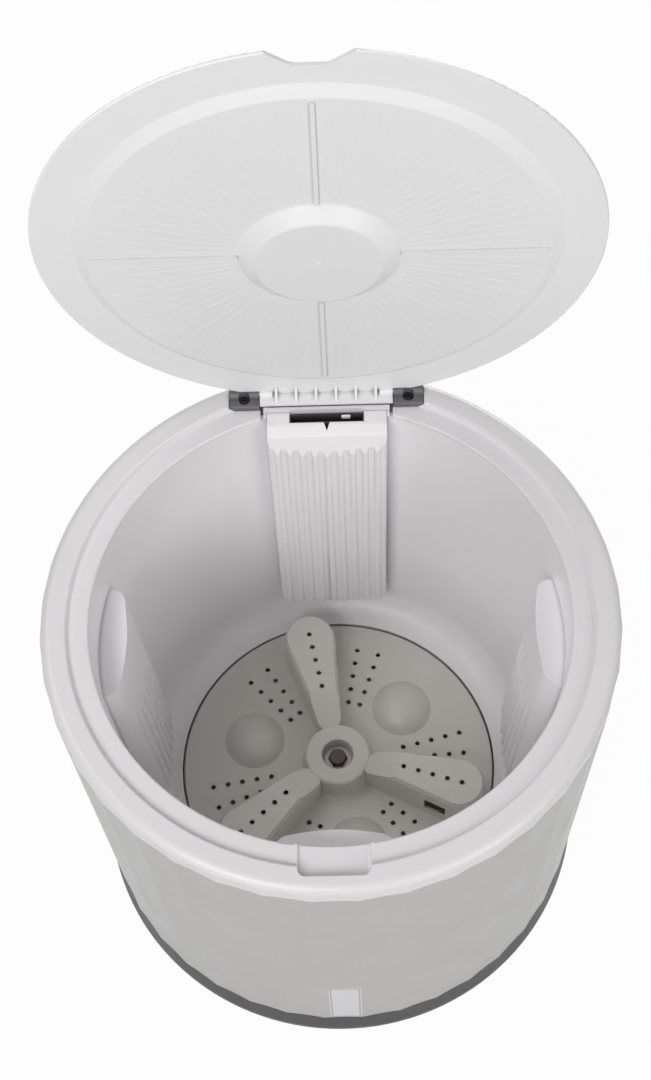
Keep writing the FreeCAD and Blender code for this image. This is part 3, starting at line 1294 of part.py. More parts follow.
def make_drive_belt():
    """Wedge belt round both pulleys: two arcs and two straight runs."""
    lean = math.degrees(math.asin((BELT_DRIVEN_R - BELT_MOTOR_R) / MOTOR_AT))
    run = MOTOR_AT * math.cos(math.radians(lean))

    def section(radius, degrees, centre):
        """Belt section face standing across the belt at an angle on a pulley."""
        points = [centre + polar(r, degrees, z) for r, z in belt_section(radius)]
        return Part.Face(Part.makePolygon(points + points[:1]))

    origin = V(0, 0, 0)
    top = 90.0 + lean
    bottom = -90.0 - lean
    large = section(BELT_DRIVEN_R, bottom, origin).revolve(origin, Z_AXIS, top - bottom)
    small = section(BELT_MOTOR_R, top, MOTOR_CENTRE).revolve(MOTOR_CENTRE, Z_AXIS, 360 - (top - bottom))
    back = section(BELT_DRIVEN_R, top, origin).extrude(polar(run, top + 90.0))
    front = section(BELT_DRIVEN_R, bottom, origin).extrude(polar(run, bottom - 90.0))
    return large.fuse([small, back, front]).removeSplitter()


def motor_cup(low, high, floor_low):
    """Half of the motor's can, open towards the split line."""
    can = rod(MOTOR_RADIUS, low, high, MOTOR_CENTRE)
    inner = MOTOR_RADIUS - MOTOR_WALL
    if floor_low:
        return can.cut(rod(inner, low + MOTOR_FLOOR_T, high, MOTOR_CENTRE))
    hollow = rod(inner, low, high - MOTOR_WALL, MOTOR_CENTRE)
    seat = rod(motor_bush_radius() + MOTOR_BUSH_SEAT_T, high - MOTOR_BUSH_LENGTH, high, MOTOR_CENTRE)
    return can.cut(hollow).fuse(seat)


def motor_bush_radius():
    """Outer radius of the motor's bushes."""
    return MOTOR_SHAFT_RADIUS + RUN_CLEARANCE + MOTOR_BUSH_T


def motor_vents(z):
    """Cooling slots round the motor's can."""
    slot = box(MOTOR_RADIUS - MOTOR_WALL * 2, MOTOR_RADIUS + MOTOR_WALL, -MOTOR_VENT_WIDTH / 2,
               MOTOR_VENT_WIDTH / 2, z, z + MOTOR_VENT_HEIGHT)
    slots = [spun(slot, 18 + 360.0 * i / MOTOR_VENTS) for i in range(MOTOR_VENTS)]
    for s in slots:
        s.translate(MOTOR_CENTRE)
    return slots


def motor_screw_places():
    """Where the motor is screwed to its bracket."""
    return [MOTOR_CENTRE + p for p in bolt_places(MOTOR_SCREWS, MOTOR_SCREW_PITCH_RADIUS, 0.0)]


def make_motor_shell_lower():
    """Lower half of the motor's can, with its bush seat and screw holes."""
    cup = motor_cup(MOTOR_Z, MOTOR_SPLIT_Z, True)
    holes = [rod(motor_bush_radius() + FIXED_CLEARANCE, MOTOR_Z, MOTOR_SPLIT_Z, MOTOR_CENTRE)]
    holes += [rod(SCREW_RADIUS + FIXED_CLEARANCE, MOTOR_Z, MOTOR_Z + MOTOR_FLOOR_T, p)
              for p in motor_screw_places()]
    return cup.cut(holes + motor_vents(MOTOR_Z + MOTOR_FLOOR_T)).removeSplitter()


def make_motor_shell_upper():
    """Upper half of the motor's can."""
    cup = motor_cup(MOTOR_SPLIT_Z, MOTOR_TOP_Z, False)
    hole = rod(motor_bush_radius() + FIXED_CLEARANCE, MOTOR_SPLIT_Z, MOTOR_TOP_Z, MOTOR_CENTRE)
    return cup.cut([hole] + motor_vents(MOTOR_TOP_Z - MOTOR_FLOOR_T - MOTOR_VENT_HEIGHT)).removeSplitter()


def make_motor_stator():
    """Ring of laminations pressed into the can."""
    low = MOTOR_SPLIT_Z - STATOR_HEIGHT / 2
    outer = MOTOR_RADIUS - MOTOR_WALL - FIXED_CLEARANCE
    return ring(outer, STATOR_BORE, low, low + STATOR_HEIGHT, MOTOR_CENTRE)


def make_motor_rotor():
    """Rotor on the motor's shaft."""
    half = (STATOR_HEIGHT - ROTOR_SHORTER) / 2
    return ring(STATOR_BORE - AIR_GAP, MOTOR_SHAFT_RADIUS + FIXED_CLEARANCE, MOTOR_SPLIT_Z - half,
                MOTOR_SPLIT_Z + half, MOTOR_CENTRE)


def make_motor_shaft():
    """Motor's shaft, down through the bracket to the small pulley."""
    return rod(MOTOR_SHAFT_RADIUS, PULLEY_Z - NUT_GAP, MOTOR_TOP_Z - MOTOR_WALL, MOTOR_CENTRE)


def make_motor_bushes():
    """Two bushes for the motor's shaft."""
    inner = MOTOR_SHAFT_RADIUS + RUN_CLEARANCE
    low = ring(motor_bush_radius(), inner, MOTOR_Z, MOTOR_Z + MOTOR_BUSH_LENGTH, MOTOR_CENTRE)
    high = ring(motor_bush_radius(), inner, MOTOR_TOP_Z - MOTOR_BUSH_LENGTH, MOTOR_TOP_Z, MOTOR_CENTRE)
    return Part.makeCompound([low, high])


def make_motor_bracket():
    """Steel plate that the motor stands on, with rounded corners."""
    cx = MOTOR_CENTRE.x
    plate = prism_z([
        (cx - BRACKET_HALF_X, -BRACKET_HALF_Y, BRACKET_CORNER),
        (cx + BRACKET_HALF_X, -BRACKET_HALF_Y, BRACKET_CORNER),
        (cx + BRACKET_HALF_X, BRACKET_HALF_Y, BRACKET_CORNER),
        (cx - BRACKET_HALF_X, BRACKET_HALF_Y, BRACKET_CORNER),
    ], BRACKET_Z, MOTOR_Z)
    holes = [rod(BRACKET_HOLE, BRACKET_Z, MOTOR_Z, MOTOR_CENTRE)]
    holes += [rod(SCREW_RADIUS + FIXED_CLEARANCE, BRACKET_Z, MOTOR_Z, p) for p in motor_screw_places()]
    holes += [rod(GROMMET_NECK + FIXED_CLEARANCE, BRACKET_Z, MOTOR_Z, p) for p in grommet_places()]
    return plate.cut(holes)


def make_motor_screws():
    """Screws from below that hold the motor on its bracket."""
    one = screw(SCREW_RADIUS, BRACKET_T + MOTOR_FLOOR_T - SEAT_GAP, SCREW_HEAD_RADIUS, SCREW_HEAD_T)
    return Part.makeCompound([placed(one, p + V(0, 0, BRACKET_Z)) for p in motor_screw_places()])


def make_bracket_grommets():
    """Rubber grommets that carry the bracket."""
    grommets = []
    for p in grommet_places():
        body = rod(GROMMET_RADIUS, BRACKET_Z - GROMMET_FLANGE, BRACKET_Z, p)
        body = body.fuse(rod(GROMMET_NECK, BRACKET_Z, MOTOR_Z, p))
        body = body.fuse(rod(GROMMET_RADIUS, MOTOR_Z, MOTOR_Z + GROMMET_FLANGE, p))
        hole = rod(BRACKET_BOLT_RADIUS + FIXED_CLEARANCE, BRACKET_Z - GROMMET_FLANGE,
                   MOTOR_Z + GROMMET_FLANGE, p)
        grommets.append(body.cut(hole).removeSplitter())
    return Part.makeCompound(grommets)


def make_bracket_bolts():
    """Bolts through the grommets into the base's bosses."""
    seat = MOTOR_Z + GROMMET_FLANGE
    length = GROMMET_FLANGE * 2 + BRACKET_T + BRACKET_BOLT_DEPTH - SEAT_GAP
    one = screw(BRACKET_BOLT_RADIUS, length, BRACKET_BOLT_HEAD, SCREW_HEAD_T)
    return Part.makeCompound([placed(one, p + V(0, 0, seat), -Z_AXIS) for p in grommet_places()])


def make_run_capacitor():
    """Capacitor can with two blade terminals."""
    at = V(CAPACITOR_AT, 0, 0)
    top = BASE_FLOOR_Z + CAPACITOR_HEIGHT
    can = rod(CAPACITOR_RADIUS, BASE_FLOOR_Z, top, at)
    half = CAPACITOR_RADIUS / 8
    for side in (-1, 1):
        x = CAPACITOR_AT + side * CAPACITOR_RADIUS / 2
        can = can.fuse(box(x - half / 4, x + half / 4, -half, half, top - half, top + half * 4))
    return can.removeSplitter()


def make_capacitor_clamp():
    """Steel band round the capacitor with a tab on the base's post."""
    at = V(CAPACITOR_AT, 0, 0)
    inner = CAPACITOR_RADIUS + FIXED_CLEARANCE
    post = clamp_post_place()
    band = ring(inner + CLAMP_T, inner, CLAMP_Z, CLAMP_Z + CLAMP_HEIGHT, at)
    tab = box(post.x - CLAMP_POST_RADIUS, post.x + CLAMP_POST_RADIUS, 0, post.y + CLAMP_POST_RADIUS,
              CLAMP_Z, CLAMP_Z + CLAMP_TAB_T)
    tab = tab.cut(rod(inner + CLAMP_T / 2, CLAMP_Z, CLAMP_Z + CLAMP_TAB_T, at))
    hole = rod(SCREW_RADIUS + FIXED_CLEARANCE, CLAMP_Z, CLAMP_Z + CLAMP_TAB_T, post)
    return band.fuse(tab).cut(hole).removeSplitter()


def make_clamp_screw():
    """Screw that holds the capacitor's clamp."""
    one = screw(SCREW_RADIUS, CLAMP_TAB_T + CLAMP_HEIGHT - SEAT_GAP, SCREW_HEAD_RADIUS, SCREW_HEAD_T)
    return placed(one, clamp_post_place() + V(0, 0, CLAMP_Z + CLAMP_TAB_T), -Z_AXIS)


def make_drain_gasket():
    """Gasket between the tub's floor and the drain elbow."""
    return ring(DRAIN_FLANGE_RADIUS, DRAIN_BORE, TUB_BASE_Z - GASKET_T, TUB_BASE_Z, V(DRAIN_X, DRAIN_Y, 0))


def spigot_end_y():
    """Outer end of the drain spigot, just inside the rim's reach."""
    return RIM_RADIUS - SPIGOT_SET_BACK


def make_drain_elbow():
    """Drain elbow from the tub's floor to the spigot at the back."""
    at = V(DRAIN_X, DRAIN_Y, 0)
    flange_z = TUB_BASE_Z - GASKET_T
    root_y = spigot_end_y() - SPIGOT_LENGTH
    body = rod(DRAIN_FLANGE_RADIUS, flange_z - DRAIN_FLANGE_T, flange_z, at)
    body = body.fuse([
        rod(DRAIN_PIPE_RADIUS, DRAIN_Z, flange_z, at),
        Part.makeSphere(DRAIN_PIPE_RADIUS, at + V(0, 0, DRAIN_Z)),
        rod_y(DRAIN_PIPE_RADIUS, DRAIN_Y, root_y, DRAIN_X, DRAIN_Z),
        rod_y(SPIGOT_RADIUS, root_y, spigot_end_y(), DRAIN_X, DRAIN_Z),
    ])
    bore = rod(DRAIN_BORE, DRAIN_Z, flange_z, at).fuse([
        Part.makeSphere(DRAIN_BORE, at + V(0, 0, DRAIN_Z)),
        rod_y(DRAIN_BORE, DRAIN_Y, spigot_end_y(), DRAIN_X, DRAIN_Z),
    ])
    return body.cut(bore).removeSplitter()


def tray_outline(inset):
    """X and Z limits of the control tray, drawn in by an inset."""
    half = TRAY_HALF_WIDTH - inset
    return -half, half, TRAY_Z - TRAY_HEIGHT / 2 + inset, TRAY_Z + TRAY_HEIGHT / 2 - inset


def make_control_tray():
    """Recessed tray in the back of the casing that carries the timer and the cord gland."""
    x0, x1, z0, z1 = tray_outline(0)
    tray = box(x0, x1, TRAY_FACE_Y - TRAY_WALL, RIM_RADIUS, z0, z1)
    tray = tray.common(rod(CASE_LOW_RADIUS + TRAY_WALL / 2, z0, z1))
    x0, x1, z0, z1 = tray_outline(TRAY_WALL)
    holes = [
        box(x0, x1, TRAY_FACE_Y, RIM_RADIUS * 2, z0, z1),
        rod_y(TIMER_SHAFT_RADIUS + RUN_CLEARANCE, TRAY_FACE_Y - TRAY_WALL, TRAY_FACE_Y, 0, TIMER_Z),
        rod_y(GLAND_RADIUS + FIXED_CLEARANCE, TRAY_FACE_Y - TRAY_WALL, TRAY_FACE_Y, 0, GLAND_Z),
    ]
    for side in (-1, 1):
        holes.append(rod_y(SCREW_RADIUS + FIXED_CLEARANCE, TRAY_FACE_Y - TRAY_WALL, TRAY_FACE_Y,
                           side * TIMER_EAR_AT, TIMER_Z))
    return tray.cut(holes).removeSplitter()


def timer_front_y():
    """Face of the timer that seats on the back of the tray."""
    return TRAY_FACE_Y - TRAY_WALL


def make_timer_body():
    """Timer can with two ears behind the tray."""
    front = timer_front_y()
    body = rod_y(TIMER_RADIUS, front - TIMER_DEPTH, front, 0, TIMER_Z)
    ears = box(-TIMER_EAR_AT, TIMER_EAR_AT, front - TIMER_EAR_T, front, TIMER_Z - TIMER_EAR_RADIUS,
               TIMER_Z + TIMER_EAR_RADIUS)
    holes = [rod_y(TIMER_SHAFT_RADIUS + RUN_CLEARANCE, front - TIMER_SHAFT_IN, front, 0, TIMER_Z)]
    solids = [ears]
    for side in (-1, 1):
        x = side * TIMER_EAR_AT
        solids.append(rod_y(TIMER_EAR_RADIUS, front - TIMER_EAR_T, front, x, TIMER_Z))
        holes.append(rod_y(SCREW_RADIUS + FIXED_CLEARANCE, front - TIMER_EAR_T, front, x, TIMER_Z))
    return body.fuse(solids).cut(holes).removeSplitter()


def make_timer_screws():
    """Screws through the tray into the timer's ears."""
    one = screw(SCREW_RADIUS, TIMER_SCREW_LENGTH, SCREW_HEAD_RADIUS, SCREW_HEAD_T)
    return Part.makeCompound([placed(one, V(side * TIMER_EAR_AT, TRAY_FACE_Y, TIMER_Z), -Y_AXIS)
                              for side in (-1, 1)])


def make_timer_shaft():
    """Timer's shaft from its works into the knob."""
    low = timer_front_y() - TIMER_SHAFT_IN + SEAT_GAP
    return rod_y(TIMER_SHAFT_RADIUS, low, TRAY_FACE_Y + KNOB_GAP + KNOB_SHAFT_DEPTH - SEAT_GAP, 0, TIMER_Z)


def make_timer_knob():
    """Round knob with a raised grip bar, pointing up at rest."""
    low = TRAY_FACE_Y + KNOB_GAP
    knob = Part.makeCone(KNOB_RADIUS, KNOB_RADIUS * 0.92, KNOB_HEIGHT, V(0, low, TIMER_Z), Y_AXIS)
    half = KNOB_GRIP_WIDTH / 2
    grip = box(-half, half, low, low + KNOB_HEIGHT + KNOB_GRIP_HEIGHT, TIMER_Z - KNOB_RADIUS,
               TIMER_Z + KNOB_RADIUS)
    grip = grip.common(Part.makeCone(KNOB_RADIUS, KNOB_RADIUS * 0.85, KNOB_HEIGHT + KNOB_GRIP_HEIGHT,
                                     V(0, low, TIMER_Z), Y_AXIS))
    hole = rod_y(TIMER_SHAFT_RADIUS + FIXED_CLEARANCE, low, low + KNOB_SHAFT_DEPTH, 0, TIMER_Z)
    return knob.fuse(grip).cut(hole).removeSplitter()


def make_cord_gland():
    """Bush for the mains cord in the tray's floor."""
    face = TRAY_FACE_Y
    body = rod_y(GLAND_RADIUS, face - GLAND_LENGTH, face, 0, GLAND_Z)
    body = body.fuse(rod_y(GLAND_FLANGE_RADIUS, face, face + GLAND_FLANGE_T, 0, GLAND_Z))
    bore = rod_y(GLAND_BORE, face - GLAND_LENGTH, face + GLAND_FLANGE_T, 0, GLAND_Z)
    return body.cut(bore).removeSplitter()


def make_wiring_harness():
    """Lead from the timer down and across to the motor, in straight runs and arcs."""
    under_can = math.sqrt(TIMER_RADIUS ** 2 - (HARNESS_SIDE - HARNESS_RADIUS) ** 2) + RUN_CLEARANCE
    start = V(-HARNESS_SIDE, timer_front_y() - TIMER_DEPTH / 2, TIMER_Z - under_can)
    motor_z = MOTOR_SPLIT_Z
    corner = V(start.x, start.y, motor_z)
    side = V(MOTOR_CENTRE.x, MOTOR_RADIUS + HARNESS_REACH, motor_z)
    end = V(MOTOR_CENTRE.x, MOTOR_RADIUS, motor_z)
    first = arc_corner(start, corner, side, HARNESS_BEND)
    second = arc_corner(corner, side, end, HARNESS_BEND)
    path = Part.Wire([
        Part.makeLine(start, first[0]),
        Part.Arc(first[0], first[1], first[2]).toShape(),
        Part.makeLine(first[2], second[0]),
        Part.Arc(second[0], second[1], second[2]).toShape(),
        Part.makeLine(second[2], end),
    ])
    section = Part.Wire(Part.makeCircle(HARNESS_RADIUS, start, Z_AXIS))
    return path.makePipeShell([section], True, False)


PIECES = {
    "outer_casing": make_outer_casing,
    "rim_ring": make_rim_ring,
    "tub": make_tub,
    "rear_duct_cover": make_rear_duct_cover,
    "duct_slot_insert": make_duct_slot_insert,
    "lid_panel": make_lid_panel,
    "hinge_block_left": lambda: make_hinge_block(-1),
    "hinge_block_right": lambda: make_hinge_block(1),
    "hinge_pin_left": lambda: make_hinge_pin(-1),
    "hinge_pin_right": lambda: make_hinge_pin(1),
    "hinge_screws": make_hinge_screws,
    "pulsator": make_pulsator,
    "pulsator_bolt": make_pulsator_bolt,
    "bolt_washer": make_bolt_washer,
    "drive_shaft": make_drive_shaft,
    "shaft_seal": make_shaft_seal,
    "bearing_housing": make_bearing_housing,
    "upper_bush": lambda: make_bush(housing_top_z() - SEAL_HEIGHT - BUSH_LENGTH),
    "lower_bush": lambda: make_bush(housing_low_z()),
    "housing_screws": make_housing_screws,
    "driven_pulley": make_driven_pulley,
    "pulley_nut": make_pulley_nut,
    "drive_belt": make_drive_belt,
    "motor_shell_lower": make_motor_shell_lower,
    "motor_shell_upper": make_motor_shell_upper,
    "motor_stator": make_motor_stator,
    "motor_rotor": make_motor_rotor,
    "motor_shaft": make_motor_shaft,
    "motor_bushes": make_motor_bushes,
    "motor_pulley": make_motor_pulley,
    "motor_bracket": make_motor_bracket,
    "motor_screws": make_motor_screws,
    "bracket_grommets": make_bracket_grommets,
    "bracket_bolts": make_bracket_bolts,
    "run_capacitor": make_run_capacitor,
    "capacitor_clamp": make_capacitor_clamp,
    "clamp_screw": make_clamp_screw,
    "base_tray": make_base_tray,
    "feet": make_feet,
    "pillar_screws": make_pillar_screws,
    "base_screws": make_base_screws,
    "drain_elbow": make_drain_elbow,
    "drain_gasket": make_drain_gasket,
    "control_tray": make_control_tray,
    "timer_body": make_timer_body,
    "timer_screws": make_timer_screws,
    "timer_shaft": make_timer_shaft,
    "timer_knob": make_timer_knob,
    "cord_gland": make_cord_gland,
    "wiring_harness": make_wiring_harness,
}


def main():
    """Build every piece and write one file for each."""
    os.makedirs("parts", exist_ok=True)
    for name, make in PIECES.items():
        shape = make()
        print(name, "solids", len(shape.Solids), "volume", round(shape.Volume), "valid", shape.isValid())
        shape.exportStep("parts/" + name + ".step")


main()
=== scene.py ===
"""Looks, light and camera for the portable top-loading washing machine.

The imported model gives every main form. This script dresses it: a procedural finish for each node, the fine
mouldings that are too small for the solids, a pale studio and the photograph's camera.
Metres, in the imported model's own frame: +Z up, the front towards -Y, the pulsator's axis on Z.
"""
from __future__ import annotations

import json
import logging
import math
from dataclasses import dataclass
from enum import Enum
from typing import Any, Iterable, Mapping, Optional, Sequence, Union

import bmesh
import bpy
from mathutils import Matrix, Vector
from mathutils.bvhtree import BVHTree

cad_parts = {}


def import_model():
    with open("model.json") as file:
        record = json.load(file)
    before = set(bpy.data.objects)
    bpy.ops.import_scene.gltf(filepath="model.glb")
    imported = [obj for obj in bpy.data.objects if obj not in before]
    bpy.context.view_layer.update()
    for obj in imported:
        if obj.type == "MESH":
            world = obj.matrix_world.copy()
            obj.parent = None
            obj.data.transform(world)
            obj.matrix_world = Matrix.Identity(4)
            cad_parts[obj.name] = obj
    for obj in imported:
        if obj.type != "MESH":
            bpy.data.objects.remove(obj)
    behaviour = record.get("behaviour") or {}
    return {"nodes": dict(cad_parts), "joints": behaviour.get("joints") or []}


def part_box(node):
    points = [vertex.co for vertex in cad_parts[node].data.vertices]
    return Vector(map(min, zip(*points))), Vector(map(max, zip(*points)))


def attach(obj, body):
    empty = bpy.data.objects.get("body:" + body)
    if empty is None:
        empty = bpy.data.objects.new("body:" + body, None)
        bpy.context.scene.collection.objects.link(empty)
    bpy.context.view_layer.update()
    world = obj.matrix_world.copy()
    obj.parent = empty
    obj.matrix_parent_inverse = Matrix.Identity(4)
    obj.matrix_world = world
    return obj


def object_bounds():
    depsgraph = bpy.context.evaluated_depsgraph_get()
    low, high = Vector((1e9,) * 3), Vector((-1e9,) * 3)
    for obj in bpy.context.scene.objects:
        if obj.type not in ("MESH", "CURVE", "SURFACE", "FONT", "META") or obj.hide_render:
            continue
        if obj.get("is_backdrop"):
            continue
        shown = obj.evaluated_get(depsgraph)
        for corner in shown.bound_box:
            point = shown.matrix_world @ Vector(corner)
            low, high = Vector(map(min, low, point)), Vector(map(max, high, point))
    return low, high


LOG = logging.getLogger("washing_machine")

SHARP_ANGLE = math.radians(40)
BAR_SIDES = 8

Color = tuple[float, float, float]
Operand = Union["Value", float, int]


class Body(Enum):
    """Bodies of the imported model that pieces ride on."""

    MACHINE = "machine_body"
    LID = "lid"
    PULSATOR = "pulsator_drive"
    TIMER = "timer_dial"


class Slot(Enum):
    """Material slots of the record, passed with new pieces."""

    CASING = "casing_white"
    LID = "lid_milky"
    PULSATOR = "pulsator_ivory"
    KNOB = "knob_white"
    TUB = "tub_white"


class Value:
    """A number in a node tree that can be used in Python expressions."""

    def __init__(self, graph: "Graph", socket: bpy.types.NodeSocket) -> None:
        """Keep the tree and the socket that gives the number."""
        self.graph = graph
        self.socket = socket

    def __add__(self, other: Operand) -> "Value":
        """Sum of two numbers."""
        return self.graph.math("ADD", self, other)

    def __sub__(self, other: Operand) -> "Value":
        """This number less another."""
        return self.graph.math("SUBTRACT", self, other)

    def __rsub__(self, other: Operand) -> "Value":
        """Another number less this one."""
        return self.graph.math("SUBTRACT", other, self)

    def __mul__(self, other: Operand) -> "Value":
        """Product of two numbers."""
        return self.graph.math("MULTIPLY", self, other)

    def __truediv__(self, other: Operand) -> "Value":
        """This number over another."""
        return self.graph.math("DIVIDE", self, other)

    def __mod__(self, other: Operand) -> "Value":
        """What is left over after whole steps of another number."""
        return self.graph.math("FLOORED_MODULO", self, other)

    def __gt__(self, other: Operand) -> "Value":
        """1 where this number is larger, otherwise 0."""
        return self.graph.math("GREATER_THAN", self, other)

    def __abs__(self) -> "Value":
        """Size of the number without its sign."""
        return self.graph.math("ABSOLUTE", self)

    __radd__ = __add__
    __rmul__ = __mul__

    def floor(self) -> "Value":
        """Whole part of the number."""
        return self.graph.math("FLOOR", self)

    def larger(self, other: Operand) -> "Value":
        """Larger of two numbers."""
        return self.graph.math("MAXIMUM", self, other)

    def fade(self, low: float, high: float) -> "Value":
        """Smooth step from 0 at low to 1 at high."""
        made = self.graph.node("ShaderNodeMapRange", {"interpolation_type": "SMOOTHSTEP"},
                               {"Value": self, "From Min": low, "From Max": high})
        return self.graph.value(made, "Result")


class Graph:
    """A node tree and the one method that adds nodes to it."""

    def __init__(self, tree: bpy.types.NodeTree) -> None:
        """Keep the tree."""
        self.tree = tree

    def node(self, kind: str, settings: Optional[Mapping[str, Any]] = None,
             inputs: Optional[Mapping[Union[str, int], Any]] = None) -> bpy.types.Node:
        """Add a node.

        Args:
            kind: The node's type.
            settings: Properties of the node, set before its sockets.
            inputs: Values or links by the name or number of a socket.

        Returns:
            The new node.
        """
        made = self.tree.nodes.new(kind)
        for name, setting in (settings or {}).items():
            setattr(made, name, setting)
        for key, given in (inputs or {}).items():
            socket = made.inputs[key]
            if isinstance(given, Value):
                self.tree.links.new(given.socket, socket)
            elif isinstance(given, bpy.types.NodeSocket):
                self.tree.links.new(given, socket)
            else:
                socket.default_value = given
        return made

    def value(self, node: bpy.types.Node, output: Union[str, int] = 0) -> Value:
        """Wrap one output of a node."""
        return Value(self, node.outputs[output])

    def math(self, operation: str, *operands: Operand) -> Value:
        """Add a Math node for an operation on its operands."""
        return self.value(self.node("ShaderNodeMath", {"operation": operation}, dict(enumerate(operands))))


class Surface(Graph):
    """Shader tree of one material, with the pattern sources that the finishes share."""

    def __init__(self, name: str) -> None:
        """Make the material and its shader."""
        self.material = bpy.data.materials.new(name)
        self.material.use_nodes = True
        super().__init__(self.material.node_tree)
        self.tree.nodes.clear()
        self.shader = self.node("ShaderNodeBsdfPrincipled")
        self.node("ShaderNodeOutputMaterial", None, {"Surface": self.shader.outputs[0]})
        self.place = self.node("ShaderNodeTexCoord").outputs["Object"]

    def constants(self, **levels: float) -> None:
        """Set plain numbers on the shader's own sockets, named with _ for a space."""
        for name, level in levels.items():
            self.shader.inputs[name.replace("_", " ")].default_value = level

    def link(self, socket: str, source: Union[Value, bpy.types.NodeSocket]) -> None:
        """Feed one of the shader's sockets."""
        start = source.socket if isinstance(source, Value) else source
        self.tree.links.new(start, self.shader.inputs[socket])

    def noise(self, size: float, detail: float = 2.0, stretch: Sequence[float] = (1, 1, 1)) -> Value:
        """Noise over the object.

        Args:
            size: Size of one lump in metres.
            detail: How many finer layers are added.
            stretch: How many times longer the lumps are along X, Y and Z.

        Returns:
            Noise about 0.5.
        """
        scale = [1 / (size * s) for s in stretch]
        mapped = self.node("ShaderNodeMapping", None, {"Vector": self.place, "Scale": scale})
        made = self.node("ShaderNodeTexNoise", None,
                         {"Vector": mapped.outputs[0], "Scale": 1.0, "Detail": detail, "Roughness": 0.55})
        return self.value(made, 0)

    def openness(self, reach: float) -> Value:
        """1 on open surfaces, less in creases that are narrower than a reach in metres."""
        made = self.node("ShaderNodeAmbientOcclusion", {"samples": 8}, {"Distance": reach})
        return self.value(made, "AO")

    def axes(self, centre: Sequence[float] = (0, 0, 0)) -> tuple[Value, Value, Value]:
        """X, Y and Z measured from a centre."""
        split = self.node("ShaderNodeSeparateXYZ", None, {"Vector": self.place})
        return tuple(self.value(split, i) - centre[i] for i in range(3))

    def blend(self, share: Operand, low: Color, high: Color) -> bpy.types.NodeSocket:
        """Colour between two colours."""
        made = self.node("ShaderNodeMix", {"data_type": "RGBA"},
                         {0: share, 6: (*low, 1.0), 7: (*high, 1.0)})
        return made.outputs[2]

    def over(self, share: Operand, below: bpy.types.NodeSocket, color: Color) -> bpy.types.NodeSocket:
        """A colour laid over another by a share."""
        made = self.node("ShaderNodeMix", {"data_type": "RGBA"}, {0: share, 6: below, 7: (*color, 1.0)})
        return made.outputs[2]

    def relief(self, height: Value, depth: float, strength: float = 1.0) -> None:
        """Bump the surface by a height pattern whose full range is a depth in metres."""
        made = self.node("ShaderNodeBump", None, {"Strength": strength, "Distance": depth, "Height": height})
        self.link("Normal", made.outputs[0])


def tint(color: Color, factor: float) -> Color:
    """A colour made lighter or darker by a factor."""
    return tuple(min(1.0, c * factor) for c in color)


@dataclass(frozen=True)
class Moulding:
    """Injection-moulded plastic with faint flow mottling, fine grain, scuffs, blotches of soil and painted
    shade in its creases.
    """

    name: str
    color: Color
    roughness: float = 0.35
    mottle: float = 0.03
    flow_size: float = 0.07
    flow_relief: float = 3.0
    grain: float = 0.0006
    grain_depth: float = 0.00003
    scuff: float = 0.08
    soil: float = 0.06
    soil_size: float = 0.045
    soil_shade: float = 0.9
    # Painted shade in creases, from ambient occlusion: its share, how far it reaches and how dark it goes.
    crease_painted_shade: float = 0.0
    crease_reach: float = 0.005
    crease_shade: float = 0.4
    ior: float = 1.49

    def material(self) -> bpy.types.Material:
        """Make the material."""
        s = Surface(self.name)
        flow = s.noise(self.flow_size, 3.0)
        dust = s.noise(self.soil_size, 3.0)
        grain = s.noise(self.grain, 1.0)
        shade = s.blend(flow, tint(self.color, 1 - self.mottle), tint(self.color, 1 + self.mottle))
        shade = s.over(dust.fade(0.3, 0.9) * self.soil, shade, tint(self.color, self.soil_shade))
        # Painted shade: ambient occlusion darkens the colour in creases and hollows, where shade falls.
        if self.crease_painted_shade:
            crease = 1 - s.openness(self.crease_reach)
            painted_crease_shade = crease.fade(0.15, 0.75) * self.crease_painted_shade
            shade = s.over(painted_crease_shade, shade, tint(self.color, self.crease_shade))
        s.link("Base Color", shade)
        s.link("Roughness", self.roughness + (dust - 0.5) * self.scuff * 2)
        s.relief(grain + flow * self.flow_relief, self.grain_depth)
        s.constants(IOR=self.ior)
        return s.material


@dataclass(frozen=True)
class Rubber:
    """Matt black rubber with a bloom of grey dust."""

    name: str
    color: Color = (0.022, 0.022, 0.024)
    roughness: float = 0.72
    bloom_size: float = 0.012
    bloom_shade: float = 2.2
    pore_size: float = 0.0009
    pore_depth: float = 0.00008

    def material(self) -> bpy.types.Material:
        """Make the material."""
        s = Surface(self.name)
        bloom = s.noise(self.bloom_size, 5.0)
        pores = s.noise(self.pore_size, 2.0)
        dusty = tint(self.color, self.bloom_shade)
        s.link("Base Color", s.blend(bloom.fade(0.35, 0.85), self.color, dusty))
        s.link("Roughness", self.roughness + bloom * 0.2)
        s.relief(pores, self.pore_depth)
        return s.material


class Working(Enum):
    """How a metal piece was made, which sets the marks on it."""

    BRUSHED = (1.0, 1.0, 30.0)
    CAST = (1.0, 1.0, 1.0)
    ROLLED = (18.0, 1.0, 1.0)
    STACKED = (60.0, 60.0, 1.0)


@dataclass(frozen=True)
class Metal:
    """Bare or plated metal with the marks of how it was made."""

    name: str
    color: Color
    roughness: float
    working: Working
    mark: float = 0.0004
    depth: float = 0.00004
    metallic: float = 1.0
    stain_size: float = 0.015
    stain_shade: float = 0.82

    def material(self) -> bpy.types.Material:
        """Make the material."""
        s = Surface(self.name)
        marks = s.noise(self.mark, 3.0, self.working.value)
        stain = s.noise(self.stain_size, 4.0)
        stained = tint(self.color, self.stain_shade)
        s.link("Base Color", s.blend(stain.fade(0.3, 0.8), stained, self.color))
        s.link("Roughness", self.roughness + (marks - 0.5) * 0.18 + (stain - 0.5) * 0.12)
        s.relief(marks, self.depth)
        s.constants(Metallic=self.metallic)
        return s.material


